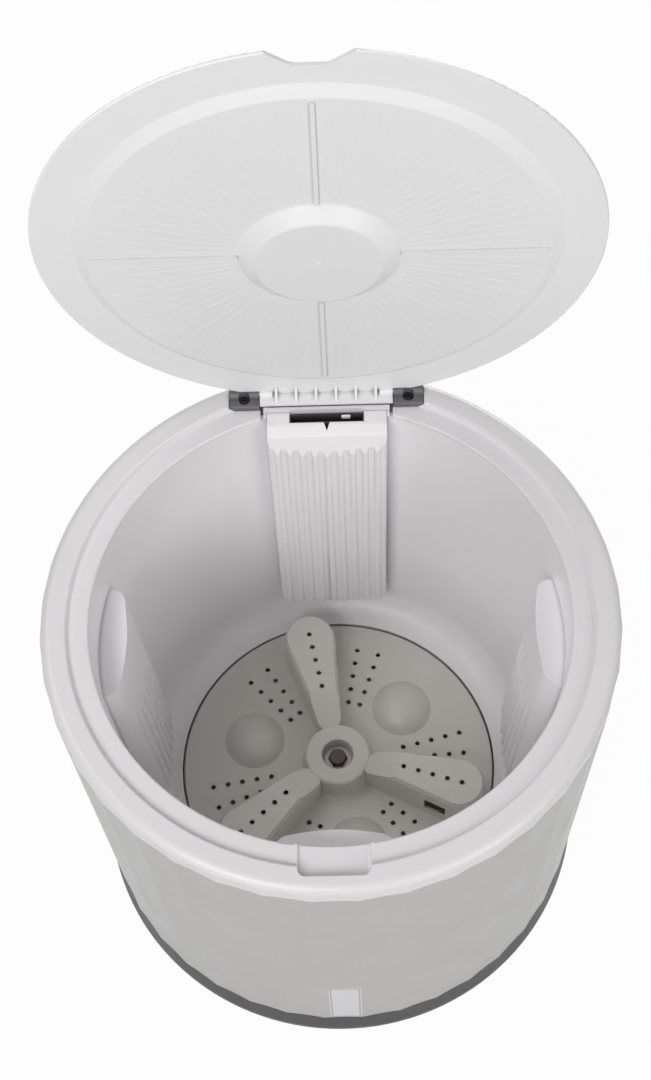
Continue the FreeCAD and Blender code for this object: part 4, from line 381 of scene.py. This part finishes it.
@dataclass(frozen=True)
class BarePlate:
    """Satin sign plate with nothing on it but a thin printed outline."""

    name: str
    color: Color
    line: Color
    centre: tuple[float, float]
    half: tuple[float, float]
    inset: float = 0.0010
    line_width: float = 0.0012
    line_blur: float = 0.0002
    line_share: float = 0.75
    roughness: float = 0.34
    grime_size: float = 0.006
    grain: float = 0.0008
    grain_depth: float = 0.00002

    def material(self) -> bpy.types.Material:
        """Make the material."""
        s = Surface(self.name)
        x, _, z = s.axes((self.centre[0], 0.0, self.centre[1]))
        edge = (abs(x) - self.half[0]).larger(abs(z) - self.half[1])
        start = -self.inset - self.line_width
        outside = edge.fade(-self.inset, -self.inset + self.line_blur)
        outline = edge.fade(start - self.line_blur, start) * (1 - outside)
        grime = s.noise(self.grime_size, 4.0)
        shade = s.blend(grime, tint(self.color, 0.97), tint(self.color, 1.02))
        s.link("Base Color", s.over(outline * self.line_share, shade, self.line))
        s.link("Roughness", self.roughness + grime * 0.12)
        s.relief(s.noise(self.grain, 2.0), self.grain_depth)
        return s.material


class Model:
    """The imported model, its nodes and the new pieces that ride on it."""

    def __init__(self) -> None:
        """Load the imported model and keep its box."""
        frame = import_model()
        self.nodes: dict[str, bpy.types.Object] = frame["nodes"]
        self.joints: dict[str, Any] = {j["name"]: j for j in frame["joints"]}
        self.cad_box = self._box()

    @staticmethod
    def _box() -> list[list[float]]:
        """Lowest and highest corner of what shows, as plain lists."""
        return [[float(c) for c in corner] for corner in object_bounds()]

    def paint(self, material: bpy.types.Material, names: Iterable[str]) -> None:
        """Give nodes a finish."""
        for name in names:
            mesh = self.nodes[name].data
            mesh.materials.clear()
            mesh.materials.append(material)
            LOG.info("finish %s on %s", material.name, name)

    def add(self, piece: bpy.types.Object, body: Body, slot: Slot) -> None:
        """Let a new piece ride on a body."""
        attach(piece, body.value)
        LOG.info("piece %s rides on %s, %d faces", piece.name, body.value, len(piece.data.polygons))


def mesh_object(name: str, shape: bmesh.types.BMesh, material: bpy.types.Material,
                smooth: bool = True) -> bpy.types.Object:
    """Turn a bmesh into an object in the scene.

    Args:
        name: Name of the piece.
        shape: The bmesh, which is freed.
        material: Finish of the piece.
        smooth: Whether faces are shaded smooth, with sharp edges kept.

    Returns:
        The new object, at the origin.
    """
    bmesh.ops.recalc_face_normals(shape, faces=shape.faces)
    mesh = bpy.data.meshes.new(name)
    shape.to_mesh(mesh)
    shape.free()
    mesh.materials.append(material)
    if smooth:
        mesh.shade_smooth()
        mesh.set_sharp_from_angle(angle=SHARP_ANGLE)
    made = bpy.data.objects.new(name, mesh)
    bpy.context.scene.collection.objects.link(made)
    return made


class Repeater(Graph):
    """Geometry Nodes tree that repeats one small shape, with named inputs for its sizes."""

    KINDS = {int: "NodeSocketInt", float: "NodeSocketFloat"}

    def __init__(self, name: str, sizes: Mapping[str, Union[int, float]]) -> None:
        """Make the tree and its inputs.

        Args:
            name: Name of the piece that the tree makes.
            sizes: Named sizes, each an input of the tree.
        """
        super().__init__(bpy.data.node_groups.new(name, "GeometryNodeTree"))
        self.name = name
        self.settings: dict[str, Union[int, float]] = {}
        for title, size in sizes.items():
            made = self.tree.interface.new_socket(title, in_out="INPUT", socket_type=self.KINDS[type(size)])
            self.settings[made.identifier] = size
        self.tree.interface.new_socket("Geometry", in_out="OUTPUT", socket_type="NodeSocketGeometry")
        self.inputs = self.node("NodeGroupInput")
        self.index = self.value(self.node("GeometryNodeInputIndex"))

    def size(self, title: str) -> Value:
        """One of the named sizes."""
        return self.value(self.inputs, title)

    def point(self, x: Operand, y: Operand, z: Operand) -> bpy.types.NodeSocket:
        """A vector from three numbers."""
        return self.node("ShaderNodeCombineXYZ", None, {0: x, 1: y, 2: z}).outputs[0]

    def ring(self, radius: Operand, wire: Operand, around: int, across: int) -> bpy.types.NodeSocket:
        """Ring of round wire about Z."""
        path = self.node("GeometryNodeCurvePrimitiveCircle", None, {"Resolution": around, "Radius": radius})
        section = self.node("GeometryNodeCurvePrimitiveCircle", None, {"Resolution": across, "Radius": wire})
        swept = self.node("GeometryNodeCurveToMesh", None,
                          {"Curve": path.outputs[0], "Profile Curve": section.outputs[0]})
        return self.node("GeometryNodeSetShadeSmooth", None, {0: swept.outputs[0]}).outputs[0]

    def bar(self, start: bpy.types.NodeSocket, end: bpy.types.NodeSocket,
            radius: Operand) -> bpy.types.NodeSocket:
        """Straight round bar between two points, with closed ends."""
        line = self.node("GeometryNodeCurvePrimitiveLine", None, {"Start": start, "End": end})
        section = self.node("GeometryNodeCurvePrimitiveCircle", None,
                            {"Resolution": BAR_SIDES, "Radius": radius})
        swept = self.node("GeometryNodeCurveToMesh", None,
                          {"Curve": line.outputs[0], "Profile Curve": section.outputs[0], "Fill Caps": True})
        return self.node("GeometryNodeSetShadeSmooth", None, {0: swept.outputs[0]}).outputs[0]

    def repeat(self, shape: bpy.types.NodeSocket, count: Operand,
               position: Optional[bpy.types.NodeSocket] = None,
               rotation: Optional[bpy.types.NodeSocket] = None,
               keep: Optional[Value] = None) -> bpy.types.NodeSocket:
        """Copies of a shape.

        Args:
            shape: Geometry that is repeated.
            count: Number of copies.
            position: Place of each copy, from the index.
            rotation: Turn of each copy, from the index.
            keep: 1 for the copies that stay.

        Returns:
            The copies as instances.
        """
        points = self.node("GeometryNodeMeshLine", None, {"Count": count, "Offset": (0, 0, 0)}).outputs[0]
        if position is not None:
            points = self.node("GeometryNodeSetPosition", None,
                               {"Geometry": points, "Position": position}).outputs[0]
        links: dict[str, Any] = {"Points": points, "Instance": shape}
        if rotation is not None:
            links["Rotation"] = rotation
        if keep is not None:
            links["Selection"] = keep
        return self.node("GeometryNodeInstanceOnPoints", None, links).outputs[0]

    def bake(self, geometry: bpy.types.NodeSocket, material: bpy.types.Material,
             place: Matrix = Matrix.Identity(4)) -> bpy.types.Object:
        """Close the tree and turn its result into a plain mesh.

        Args:
            geometry: What the tree makes.
            material: Finish of the piece.
            place: Where the finished mesh is put.

        Returns:
            The piece as an object at the origin.
        """
        real = self.node("GeometryNodeRealizeInstances", None, {0: geometry})
        dressed = self.node("GeometryNodeSetMaterial", None,
                            {"Geometry": real.outputs[0], "Material": material})
        self.node("NodeGroupOutput", None, {0: dressed.outputs[0]})
        piece = bpy.data.objects.new(self.name, bpy.data.meshes.new(self.name))
        bpy.context.scene.collection.objects.link(piece)
        modifier = piece.modifiers.new(self.name, "NODES")
        modifier.node_group = self.tree
        for identifier, size in self.settings.items():
            modifier[identifier] = size
        graph = bpy.context.evaluated_depsgraph_get()
        mesh = bpy.data.meshes.new_from_object(piece.evaluated_get(graph), depsgraph=graph)
        piece.modifiers.remove(modifier)
        mesh.transform(place)
        mesh.name = self.name
        piece.data = mesh
        return piece


@dataclass
class Lid:
    """Milky lid with a sunburst of fine beads on its inner face."""

    model: Model
    # The lid's finish paints shade into its creases, round its rings, ribs and beads.
    finish: Moulding = Moulding("milky_lid", (0.850, 0.850, 0.855), roughness=0.34, mottle=0.012,
                                scuff=0.05, crease_painted_shade=0.6)
    rays: int = 88
    ray_inner: float = 0.0635
    ray_outer: float = 0.1560
    ray_radius: float = 0.0007
    ray_sink: float = 0.00050
    face_z: float = 0.4054
    gate_radius: float = 0.0028
    gate_rise: float = 0.0006
    gate_taper: float = 0.7
    gate_round: float = 0.4
    dish_z: float = 0.3964

    def opening(self) -> Matrix:
        """Turn that takes the closed lid to where it rests open."""
        hinge = self.model.joints["lid_hinge"]
        pin = Vector(hinge["pos_m"])
        turn = Matrix.Rotation(math.radians(-hinge["range_deg"][1]), 4, "X")
        return Matrix.Translation(pin) @ turn @ Matrix.Translation(-pin)

    def build(self) -> None:
        """Dress the lid and add its beads and gate mark."""
        material = self.finish.material()
        self.model.paint(material, ["lid_panel"])
        self.model.add(self.make_rays(material), Body.LID, Slot.LID)
        self.model.add(self.make_gate_mark(material), Body.LID, Slot.LID)

    def make_rays(self, material: bpy.types.Material) -> bpy.types.Object:
        """Fine radial beads on the lid's inner face, with none on its four ribs."""
        tree = Repeater("lid_rays", {"Count": self.rays, "Inner": self.ray_inner, "Outer": self.ray_outer,
                                     "Radius": self.ray_radius, "Height": self.face_z + self.ray_sink})
        height = tree.size("Height")
        bead = tree.bar(tree.point(tree.size("Inner"), 0.0, height),
                        tree.point(tree.size("Outer"), 0.0, height), tree.size("Radius"))
        turn = tree.point(0.0, 0.0, tree.index * (2 * math.pi) / tree.size("Count"))
        keep = tree.index % (self.rays // 4) > 0.5
        return tree.bake(tree.repeat(bead, tree.size("Count"), None, turn, keep), material, self.opening())

    def make_gate_mark(self, material: bpy.types.Material) -> bpy.types.Object:
        """Small round mark at the middle of the dish, where the moulding was filled."""
        shape = bmesh.new()
        bmesh.ops.create_cone(shape, cap_ends=True, segments=32, radius1=self.gate_radius * self.gate_taper,
                              radius2=self.gate_radius, depth=self.gate_rise * 2)
        bmesh.ops.bevel(shape, geom=shape.edges, offset=self.gate_rise * self.gate_round, segments=2,
                        affect="EDGES")
        place = self.opening() @ Matrix.Translation((0, 0, self.dish_z))
        bmesh.ops.transform(shape, matrix=place, verts=shape.verts)
        return mesh_object("lid_gate_mark", shape, material)


@dataclass
class Casing:
    """Fluted casing, whose grey is painted shade, and top frame, with a bare sign plate low on the front."""

    model: Model
    # Painted shade: the casing is given a grey darker than the frame's white, for the shade on its sides.
    finish: Moulding = Moulding("casing_painted_shade", (0.430, 0.419, 0.417), roughness=0.34, mottle=0.02)
    # The frame's finish paints shade into its creases, by the hinge strip, its gussets and the pocket.
    frame_finish: Moulding = Moulding("frame_moulding", (0.742, 0.728, 0.738), roughness=0.32, mottle=0.015,
                                      crease_painted_shade=0.5)
    plate_color: Color = (0.70, 0.69, 0.71)
    plate_line: Color = (0.30, 0.28, 0.30)
    plate_centre: tuple[float, float] = (0.0026, 0.0905)
    plate_half: tuple[float, float] = (0.0137, 0.0490)
    plate_rise: float = 0.00035
    plate_steps: tuple[int, int] = (24, 48)

    def build(self) -> None:
        """Dress the casing and the frame and add the plate."""
        self.model.paint(self.finish.material(), ["outer_casing"])
        self.model.paint(self.frame_finish.material(), ["rim_ring"])
        self.model.add(self.make_plate(), Body.MACHINE, Slot.CASING)

    def make_plate(self) -> bpy.types.Object:
        """Thin plate that follows the casing's hollow, found by casting rays at it from the front."""
        casing = self.model.nodes["outer_casing"].data
        tree = BVHTree.FromPolygons([v.co for v in casing.vertices], [p.vertices for p in casing.polygons])
        columns, rows = self.plate_steps
        shape = bmesh.new()
        grid = []
        for j in range(rows + 1):
            line = []
            for i in range(columns + 1):
                x = self.plate_centre[0] + self.plate_half[0] * (2 * i / columns - 1)
                z = self.plate_centre[1] + self.plate_half[1] * (2 * j / rows - 1)
                hit = tree.ray_cast(Vector((x, -1.0, z)), Vector((0, 1, 0)))[0]
                edge = i in (0, columns) or j in (0, rows)
                line.append(shape.verts.new(hit - Vector((0, 0 if edge else self.plate_rise, 0))))
            grid.append(line)
        for j in range(rows):
            for i in range(columns):
                shape.faces.new((grid[j][i], grid[j][i + 1], grid[j + 1][i + 1], grid[j + 1][i]))
        finish = BarePlate("bare_sign_plate", self.plate_color, self.plate_line, self.plate_centre,
                           self.plate_half)
        return mesh_object("bare_sign_plate", shape, finish.material())


@dataclass
class Tub:
    """Tub, its rear duct and the slot on the duct's shelf."""

    model: Model
    # The tub's finish paints shade into its creases, between the duct's ribs.
    finish: Moulding = Moulding("tub_moulding", (0.870, 0.846, 0.861), roughness=0.36, mottle=0.02,
                                crease_painted_shade=0.5)
    # Painted shade: the near-black insert stands in for the shade inside the slot.
    insert: Moulding = Moulding("slot_painted_shade", (0.035, 0.034, 0.036), roughness=0.5)
    clip_size: tuple[float, float, float] = (0.0075, 0.0024, 0.0046)
    clip_off_centre: float = 0.0155
    clip_round: float = 0.0006

    def build(self) -> None:
        """Dress the tub and the duct and add the clip in the slot."""
        material = self.finish.material()
        self.model.paint(material, ["tub", "rear_duct_cover"])
        self.model.paint(self.insert.material(), ["duct_slot_insert"])
        self.model.add(self.make_clip(material), Body.MACHINE, Slot.TUB)

    def make_clip(self, material: bpy.types.Material) -> bpy.types.Object:
        """Small white clip that holds the insert at the back of the slot."""
        _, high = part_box("duct_slot_insert")
        _, depth, height = self.clip_size
        middle = Vector((self.clip_off_centre, high.y - depth / 2, high.z - height / 2))
        place = Matrix.Translation(middle) @ Matrix.Diagonal((*self.clip_size, 1.0))
        shape = bmesh.new()
        bmesh.ops.create_cube(shape, size=1.0)
        bmesh.ops.transform(shape, matrix=place, verts=shape.verts)
        bmesh.ops.bevel(shape, geom=shape.edges, offset=self.clip_round, segments=3, affect="EDGES")
        return mesh_object("slot_clip", shape, material)


@dataclass
class Pulsator:
    """Vaned pulsator with a fine rim round each drain hole."""

    model: Model
    finish: Moulding = Moulding("pulsator_moulding", (0.655, 0.643, 0.590), roughness=0.33, mottle=0.02)
    bolt: Metal = Metal("dark_bolt_steel", (0.105, 0.080, 0.072), 0.5, Working.CAST, 0.0012)
    washer: Metal = Metal("washer_steel", (0.420, 0.405, 0.395), 0.42, Working.ROLLED, metallic=0.8)
    vanes: int = 3
    first_vane: float = math.radians(102)
    row_holes: int = 5
    row_first: float = 0.0614
    row_last: float = 0.1144
    near_row: float = math.radians(22)
    far_row: float = math.radians(32)
    hole_radius: float = 0.0025
    rim_wire: float = 0.0005
    disc_z: float = 0.098
    vane_z: float = 0.137

    def build(self) -> None:
        """Dress the pulsator and add the rims of its holes."""
        material = self.finish.material()
        self.model.paint(material, ["pulsator"])
        self.model.paint(self.bolt.material(), ["pulsator_bolt"])
        self.model.paint(self.washer.material(), ["bolt_washer"])
        self.model.add(self.make_disc_rims(material), Body.PULSATOR, Slot.PULSATOR)
        self.model.add(self.make_vane_rims(material), Body.PULSATOR, Slot.PULSATOR)

    def _tree(self, name: str, height: float) -> Repeater:
        """Tree with the sizes that all rows of holes share."""
        return Repeater(name, {"Holes": self.row_holes, "First": self.row_first, "Last": self.row_last,
                               "Hole radius": self.hole_radius, "Wire": self.rim_wire, "Height": height})

    def _rims(self, tree: Repeater, angle: Value, count: int,
              material: bpy.types.Material) -> bpy.types.Object:
        """Rings at each hole of the rows, whose angle comes from the index."""
        along = (tree.index % tree.size("Holes")) / (tree.size("Holes") - 1)
        radius = tree.size("First") + (tree.size("Last") - tree.size("First")) * along
        place = tree.point(radius * tree.math("COSINE", angle), radius * tree.math("SINE", angle),
                           tree.size("Height"))
        ring = tree.ring(tree.size("Hole radius"), tree.size("Wire"), 16, 4)
        return tree.bake(tree.repeat(ring, count, place), material)

    def make_disc_rims(self, material: bpy.types.Material) -> bpy.types.Object:
        """Rims of the holes in the four rows beside each vane."""
        tree = self._tree("disc_hole_rims", self.disc_z)
        row = (tree.index / tree.size("Holes")).floor()
        side = row % 4
        gap = self.far_row - self.near_row
        offset = side * gap + (side > 1.5) * (2 * self.near_row - gap) - self.far_row
        vane = (row / 4).floor()
        angle = offset + vane * (2 * math.pi / self.vanes) + self.first_vane
        return self._rims(tree, angle, self.vanes * 4 * self.row_holes, material)

    def make_vane_rims(self, material: bpy.types.Material) -> bpy.types.Object:
        """Rims of the holes along the top of each vane."""
        tree = self._tree("vane_hole_rims", self.vane_z)
        vane = (tree.index / tree.size("Holes")).floor()
        angle = vane * (2 * math.pi / self.vanes) + self.first_vane
        return self._rims(tree, angle, self.vanes * self.row_holes, material)


@dataclass
class Hinge:
    """Dark hinge blocks with their pins and screws."""

    model: Model
    finish: Moulding = Moulding("hinge_moulding", (0.13, 0.13, 0.135), roughness=0.42, grain_depth=0.00006)
    pins: Metal = Metal("pin_steel", (0.58, 0.58, 0.60), 0.32, Working.BRUSHED)
    screws: Metal = Metal("blackened_screw_steel", (0.06, 0.06, 0.065), 0.45, Working.CAST)

    def build(self) -> None:
        """Dress the hinge."""
        self.model.paint(self.finish.material(), ["hinge_block_left", "hinge_block_right"])
        self.model.paint(self.pins.material(), ["hinge_pin_left", "hinge_pin_right"])
        self.model.paint(self.screws.material(), ["hinge_screws"])


@dataclass
class Base:
    """Dark base ring, feet and the fasteners under the machine."""

    model: Model
    finish: Moulding = Moulding("base_moulding", (0.027, 0.026, 0.028), roughness=0.46, grain=0.0009,
                                grain_depth=0.00008, mottle=0.08)
    feet: Rubber = Rubber("foot_rubber")

    def build(self) -> None:
        """Dress the base and the feet."""
        self.model.paint(self.finish.material(), ["base_tray"])
        self.model.paint(self.feet.material(), ["feet", "bracket_grommets", "shaft_seal", "drain_gasket"])


@dataclass
class Drive:
    """Motor, belt, bearing and electrics inside the casing."""

    model: Model
    steel: Metal = Metal("zinc_steel", (0.56, 0.56, 0.58), 0.34, Working.BRUSHED)
    cast: Metal = Metal("cast_alloy", (0.62, 0.62, 0.64), 0.48, Working.CAST, 0.0016, 0.00012)
    bronze: Metal = Metal("sintered_bronze", (0.52, 0.35, 0.17), 0.45, Working.CAST)
    enamel: Metal = Metal("motor_enamel", (0.10, 0.11, 0.12), 0.38, Working.ROLLED, metallic=0.3)
    laminations: Metal = Metal("stacked_iron", (0.24, 0.23, 0.23), 0.5, Working.STACKED, 0.0008, 0.0002)
    can: Metal = Metal("drawn_can", (0.68, 0.68, 0.70), 0.28, Working.BRUSHED)
    belt: Rubber = Rubber("belt_rubber", (0.018, 0.018, 0.019))

    def build(self) -> None:
        """Dress every piece of the drive."""
        paint = self.model.paint
        paint(self.steel.material(), ["drive_shaft", "housing_screws", "pulley_nut", "motor_shaft",
                                      "motor_screws", "bracket_bolts", "capacitor_clamp", "clamp_screw",
                                      "pillar_screws", "base_screws", "timer_screws", "timer_shaft"])
        paint(self.cast.material(), ["bearing_housing", "driven_pulley", "motor_pulley", "motor_rotor"])
        paint(self.bronze.material(), ["upper_bush", "lower_bush", "motor_bushes"])
        paint(self.enamel.material(), ["motor_shell_lower", "motor_shell_upper", "motor_bracket"])
        paint(self.laminations.material(), ["motor_stator"])
        paint(self.can.material(), ["run_capacitor"])
        paint(self.belt.material(), ["drive_belt", "wiring_harness"])


@dataclass
class Controls:
    """Recessed tray at the back with the timer's knob, its ticks and the cord gland."""

    model: Model
    tray: Moulding = Moulding("tray_moulding", (0.075, 0.073, 0.077), roughness=0.45, grain=0.0009,
                              grain_depth=0.00008, mottle=0.06)
    knob: Moulding = Moulding("knob_moulding", (0.70, 0.70, 0.69), roughness=0.32)
    works: Moulding = Moulding("timer_moulding", (0.05, 0.05, 0.055), roughness=0.5)
    marks: Moulding = Moulding("tick_ink", (0.62, 0.62, 0.62), roughness=0.6, grain_depth=0.00001)
    gland: Rubber = Rubber("gland_rubber")
    ridges: int = 40
    ridge_radius: float = 0.0006
    ridge_start: float = 0.0010
    ridge_end: float = 0.0060
    ticks: int = 11
    tick_sweep: float = math.radians(300)
    tick_inner: float = 0.0205
    tick_outer: float = 0.0240
    tick_radius: float = 0.0005
    gland_proud: float = 0.0025

    def build(self) -> None:
        """Dress the tray and its pieces and add the ridges and the ticks."""
        paint = self.model.paint
        knob = self.knob.material()
        paint(self.tray.material(), ["control_tray"])
        paint(knob, ["timer_knob"])
        paint(self.works.material(), ["timer_body", "drain_elbow"])
        paint(self.gland.material(), ["cord_gland"])
        self.model.add(self.make_ridges(knob), Body.TIMER, Slot.KNOB)
        self.model.add(self.make_ticks(self.marks.material()), Body.MACHINE, Slot.KNOB)

    def _knob(self) -> tuple[Vector, float, float]:
        """Middle of the knob, its radius and the height of the face behind it."""
        low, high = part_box("timer_knob")
        return (low + high) / 2, (high.x - low.x) / 2, low.y

    def make_ridges(self, material: bpy.types.Material) -> bpy.types.Object:
        """Fine grip ridges round the knob's edge."""
        middle, radius, back = self._knob()
        tree = Repeater("knob_ridges", {"Count": self.ridges, "Radius": radius - self.ridge_radius,
                                        "Start": self.ridge_start, "End": self.ridge_end,
                                        "Wire": self.ridge_radius})
        reach = tree.size("Radius")
        ridge = tree.bar(tree.point(reach, 0.0, tree.size("Start")), tree.point(reach, 0.0, tree.size("End")),
                         tree.size("Wire"))
        turn = tree.point(0.0, 0.0, tree.index * (2 * math.pi) / tree.size("Count"))
        place = Matrix.Translation((middle.x, back, middle.z)) @ Matrix.Rotation(math.radians(-90), 4, "X")
        return tree.bake(tree.repeat(ridge, tree.size("Count"), None, turn), material, place)

    def make_ticks(self, material: bpy.types.Material) -> bpy.types.Object:
        """Plain raised ticks on the tray round the knob, over the knob's sweep."""
        middle = self._knob()[0]
        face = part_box("cord_gland")[1].y - self.gland_proud
        tree = Repeater("timer_ticks", {"Count": self.ticks, "Inner": self.tick_inner,
                                        "Outer": self.tick_outer, "Wire": self.tick_radius})
        tick = tree.bar(tree.point(0.0, tree.size("Inner"), 0.0), tree.point(0.0, tree.size("Outer"), 0.0),
                        tree.size("Wire"))
        turn = tree.point(0.0, 0.0, tree.index * -self.tick_sweep / (tree.size("Count") - 1))
        place = Matrix.Translation((middle.x, face, middle.z)) @ Matrix(
            ((-1, 0, 0, 0), (0, 0, 1, 0), (0, 1, 0, 0), (0, 0, 0, 1)))
        return tree.bake(tree.repeat(tick, tree.size("Count"), None, turn), material, place)


@dataclass(frozen=True)
class Lamp:
    """Soft square lamp: where it hangs, what it faces, its side in metres and its power in watts."""

    name: str
    place: tuple[float, float, float]
    aim: tuple[float, float, float]
    size: float
    power: float

    def hang(self) -> None:
        """Put the lamp in the scene."""
        data = bpy.data.lights.new(self.name, "AREA")
        data.size = self.size
        data.energy = self.power
        lamp = bpy.data.objects.new(self.name, data)
        lamp.location = self.place
        lamp.rotation_euler = (Vector(self.aim) - Vector(self.place)).to_track_quat("-Z", "Y").to_euler()
        bpy.context.scene.collection.objects.link(lamp)


@dataclass
class Studio:
    """Pale floor, soft lamps, world and the photograph's camera."""

    focal: float = 1790.8 / 1080 * 36
    eye: tuple[float, float, float] = (0.0203, -0.6000, 1.6194)
    pitch: float = math.radians(61.332)
    yaw: float = math.radians(-1.965)
    roll: float = math.radians(-3.146)
    view_end: float = 50.0
    floor_half: float = 12.0
    floor_color: Color = (0.56, 0.56, 0.56)
    floor_mottle: float = 0.01
    floor_glow: float = 0.97
    world_level: float = 0.19
    lamps: tuple[Lamp, ...] = (
        Lamp("key_lamp", (-0.9, -1.7, 2.1), (0.0, 0.1, 0.4), 1.3, 34.0),
        Lamp("fill_lamp", (1.5, -1.6, 1.5), (0.0, 0.1, 0.4), 1.4, 20.0),
        Lamp("rear_lamp", (-1.2, 0.6, 2.4), (0.0, 0.1, 0.4), 1.2, 11.0),
        Lamp("back_lamp", (0.8, 2.3, 0.6), (0.0, 0.2, 0.3), 1.0, 20.0))

    def build(self) -> None:
        """Set up the whole studio."""
        bpy.context.scene.view_settings.view_transform = "Standard"
        self.make_floor()
        self.make_world()
        for lamp in self.lamps:
            lamp.hang()
        self.make_camera()

    @staticmethod
    def seen(graph: Graph) -> Value:
        """1 where a ray comes from the camera, a mirror or a clear surface."""
        path = graph.node("ShaderNodeLightPath")
        seen = graph.value(path, "Is Camera Ray").larger(graph.value(path, "Is Glossy Ray"))
        return seen.larger(graph.value(path, "Is Transmission Ray"))

    def make_floor(self) -> None:
        """Pale floor that shows white and keeps the machine's shadow."""
        shape = bmesh.new()
        bmesh.ops.create_grid(shape, x_segments=4, y_segments=4, size=self.floor_half)
        s = Surface("studio_floor")
        low = tuple(c - self.floor_mottle for c in self.floor_color)
        high = tuple(c + self.floor_mottle for c in self.floor_color)
        s.link("Base Color", s.blend(s.noise(0.4, 2.0), low, high))
        s.constants(Roughness=0.9)
        glow = s.node("ShaderNodeEmission", None, {"Color": (1, 1, 1, 1), "Strength": 1.0})
        mixed = s.node("ShaderNodeMixShader", None,
                       {0: self.seen(s) * self.floor_glow, 1: s.shader.outputs[0], 2: glow.outputs[0]})
        output = next(n for n in s.tree.nodes if n.type == "OUTPUT_MATERIAL")
        s.tree.links.new(mixed.outputs[0], output.inputs["Surface"])
        mesh_object("studio_floor", shape, s.material, smooth=False)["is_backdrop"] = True

    def make_world(self) -> None:
        """Even pale surround, white where it is seen."""
        world = bpy.data.worlds.new("studio_world")
        world.use_nodes = True
        graph = Graph(world.node_tree)
        graph.tree.nodes.clear()
        level = self.world_level + self.seen(graph) * (1 - self.world_level)
        sky = graph.node("ShaderNodeBackground", None, {"Color": (1, 1, 1, 1), "Strength": level})
        graph.node("ShaderNodeOutputWorld", None, {"Surface": sky.outputs[0]})
        bpy.context.scene.world = world

    def make_camera(self) -> None:
        """Camera where the photograph was taken from."""
        ahead = Vector((math.sin(self.yaw) * math.cos(self.pitch), math.cos(self.yaw) * math.cos(self.pitch),
                        -math.sin(self.pitch)))
        right = ahead.cross(Vector((0, 0, 1))).normalized()
        up = right.cross(ahead)
        across = right * math.cos(self.roll) + up * math.sin(self.roll)
        above = up * math.cos(self.roll) - right * math.sin(self.roll)
        data = bpy.data.cameras.new("photo_camera")
        data.sensor_fit = "VERTICAL"
        data.sensor_height = 36.0
        data.lens = self.focal
        data.clip_end = self.view_end
        camera = bpy.data.objects.new("photo_camera", data)
        turn = Matrix((across, above, -ahead)).transposed().to_4x4()
        camera.matrix_world = Matrix.Translation(self.eye) @ turn
        bpy.context.scene.collection.objects.link(camera)
        bpy.context.scene.camera = camera


def main() -> None:
    """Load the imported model, dress it and set up the studio."""
    logging.basicConfig(level=logging.INFO, format="%(name)s: %(message)s")
    model = Model()
    for assembly in (Lid, Casing, Tub, Pulsator, Hinge, Base, Drive, Controls):
        assembly(model).build()
    Studio().build()


if __name__ == "__main__":
    main()
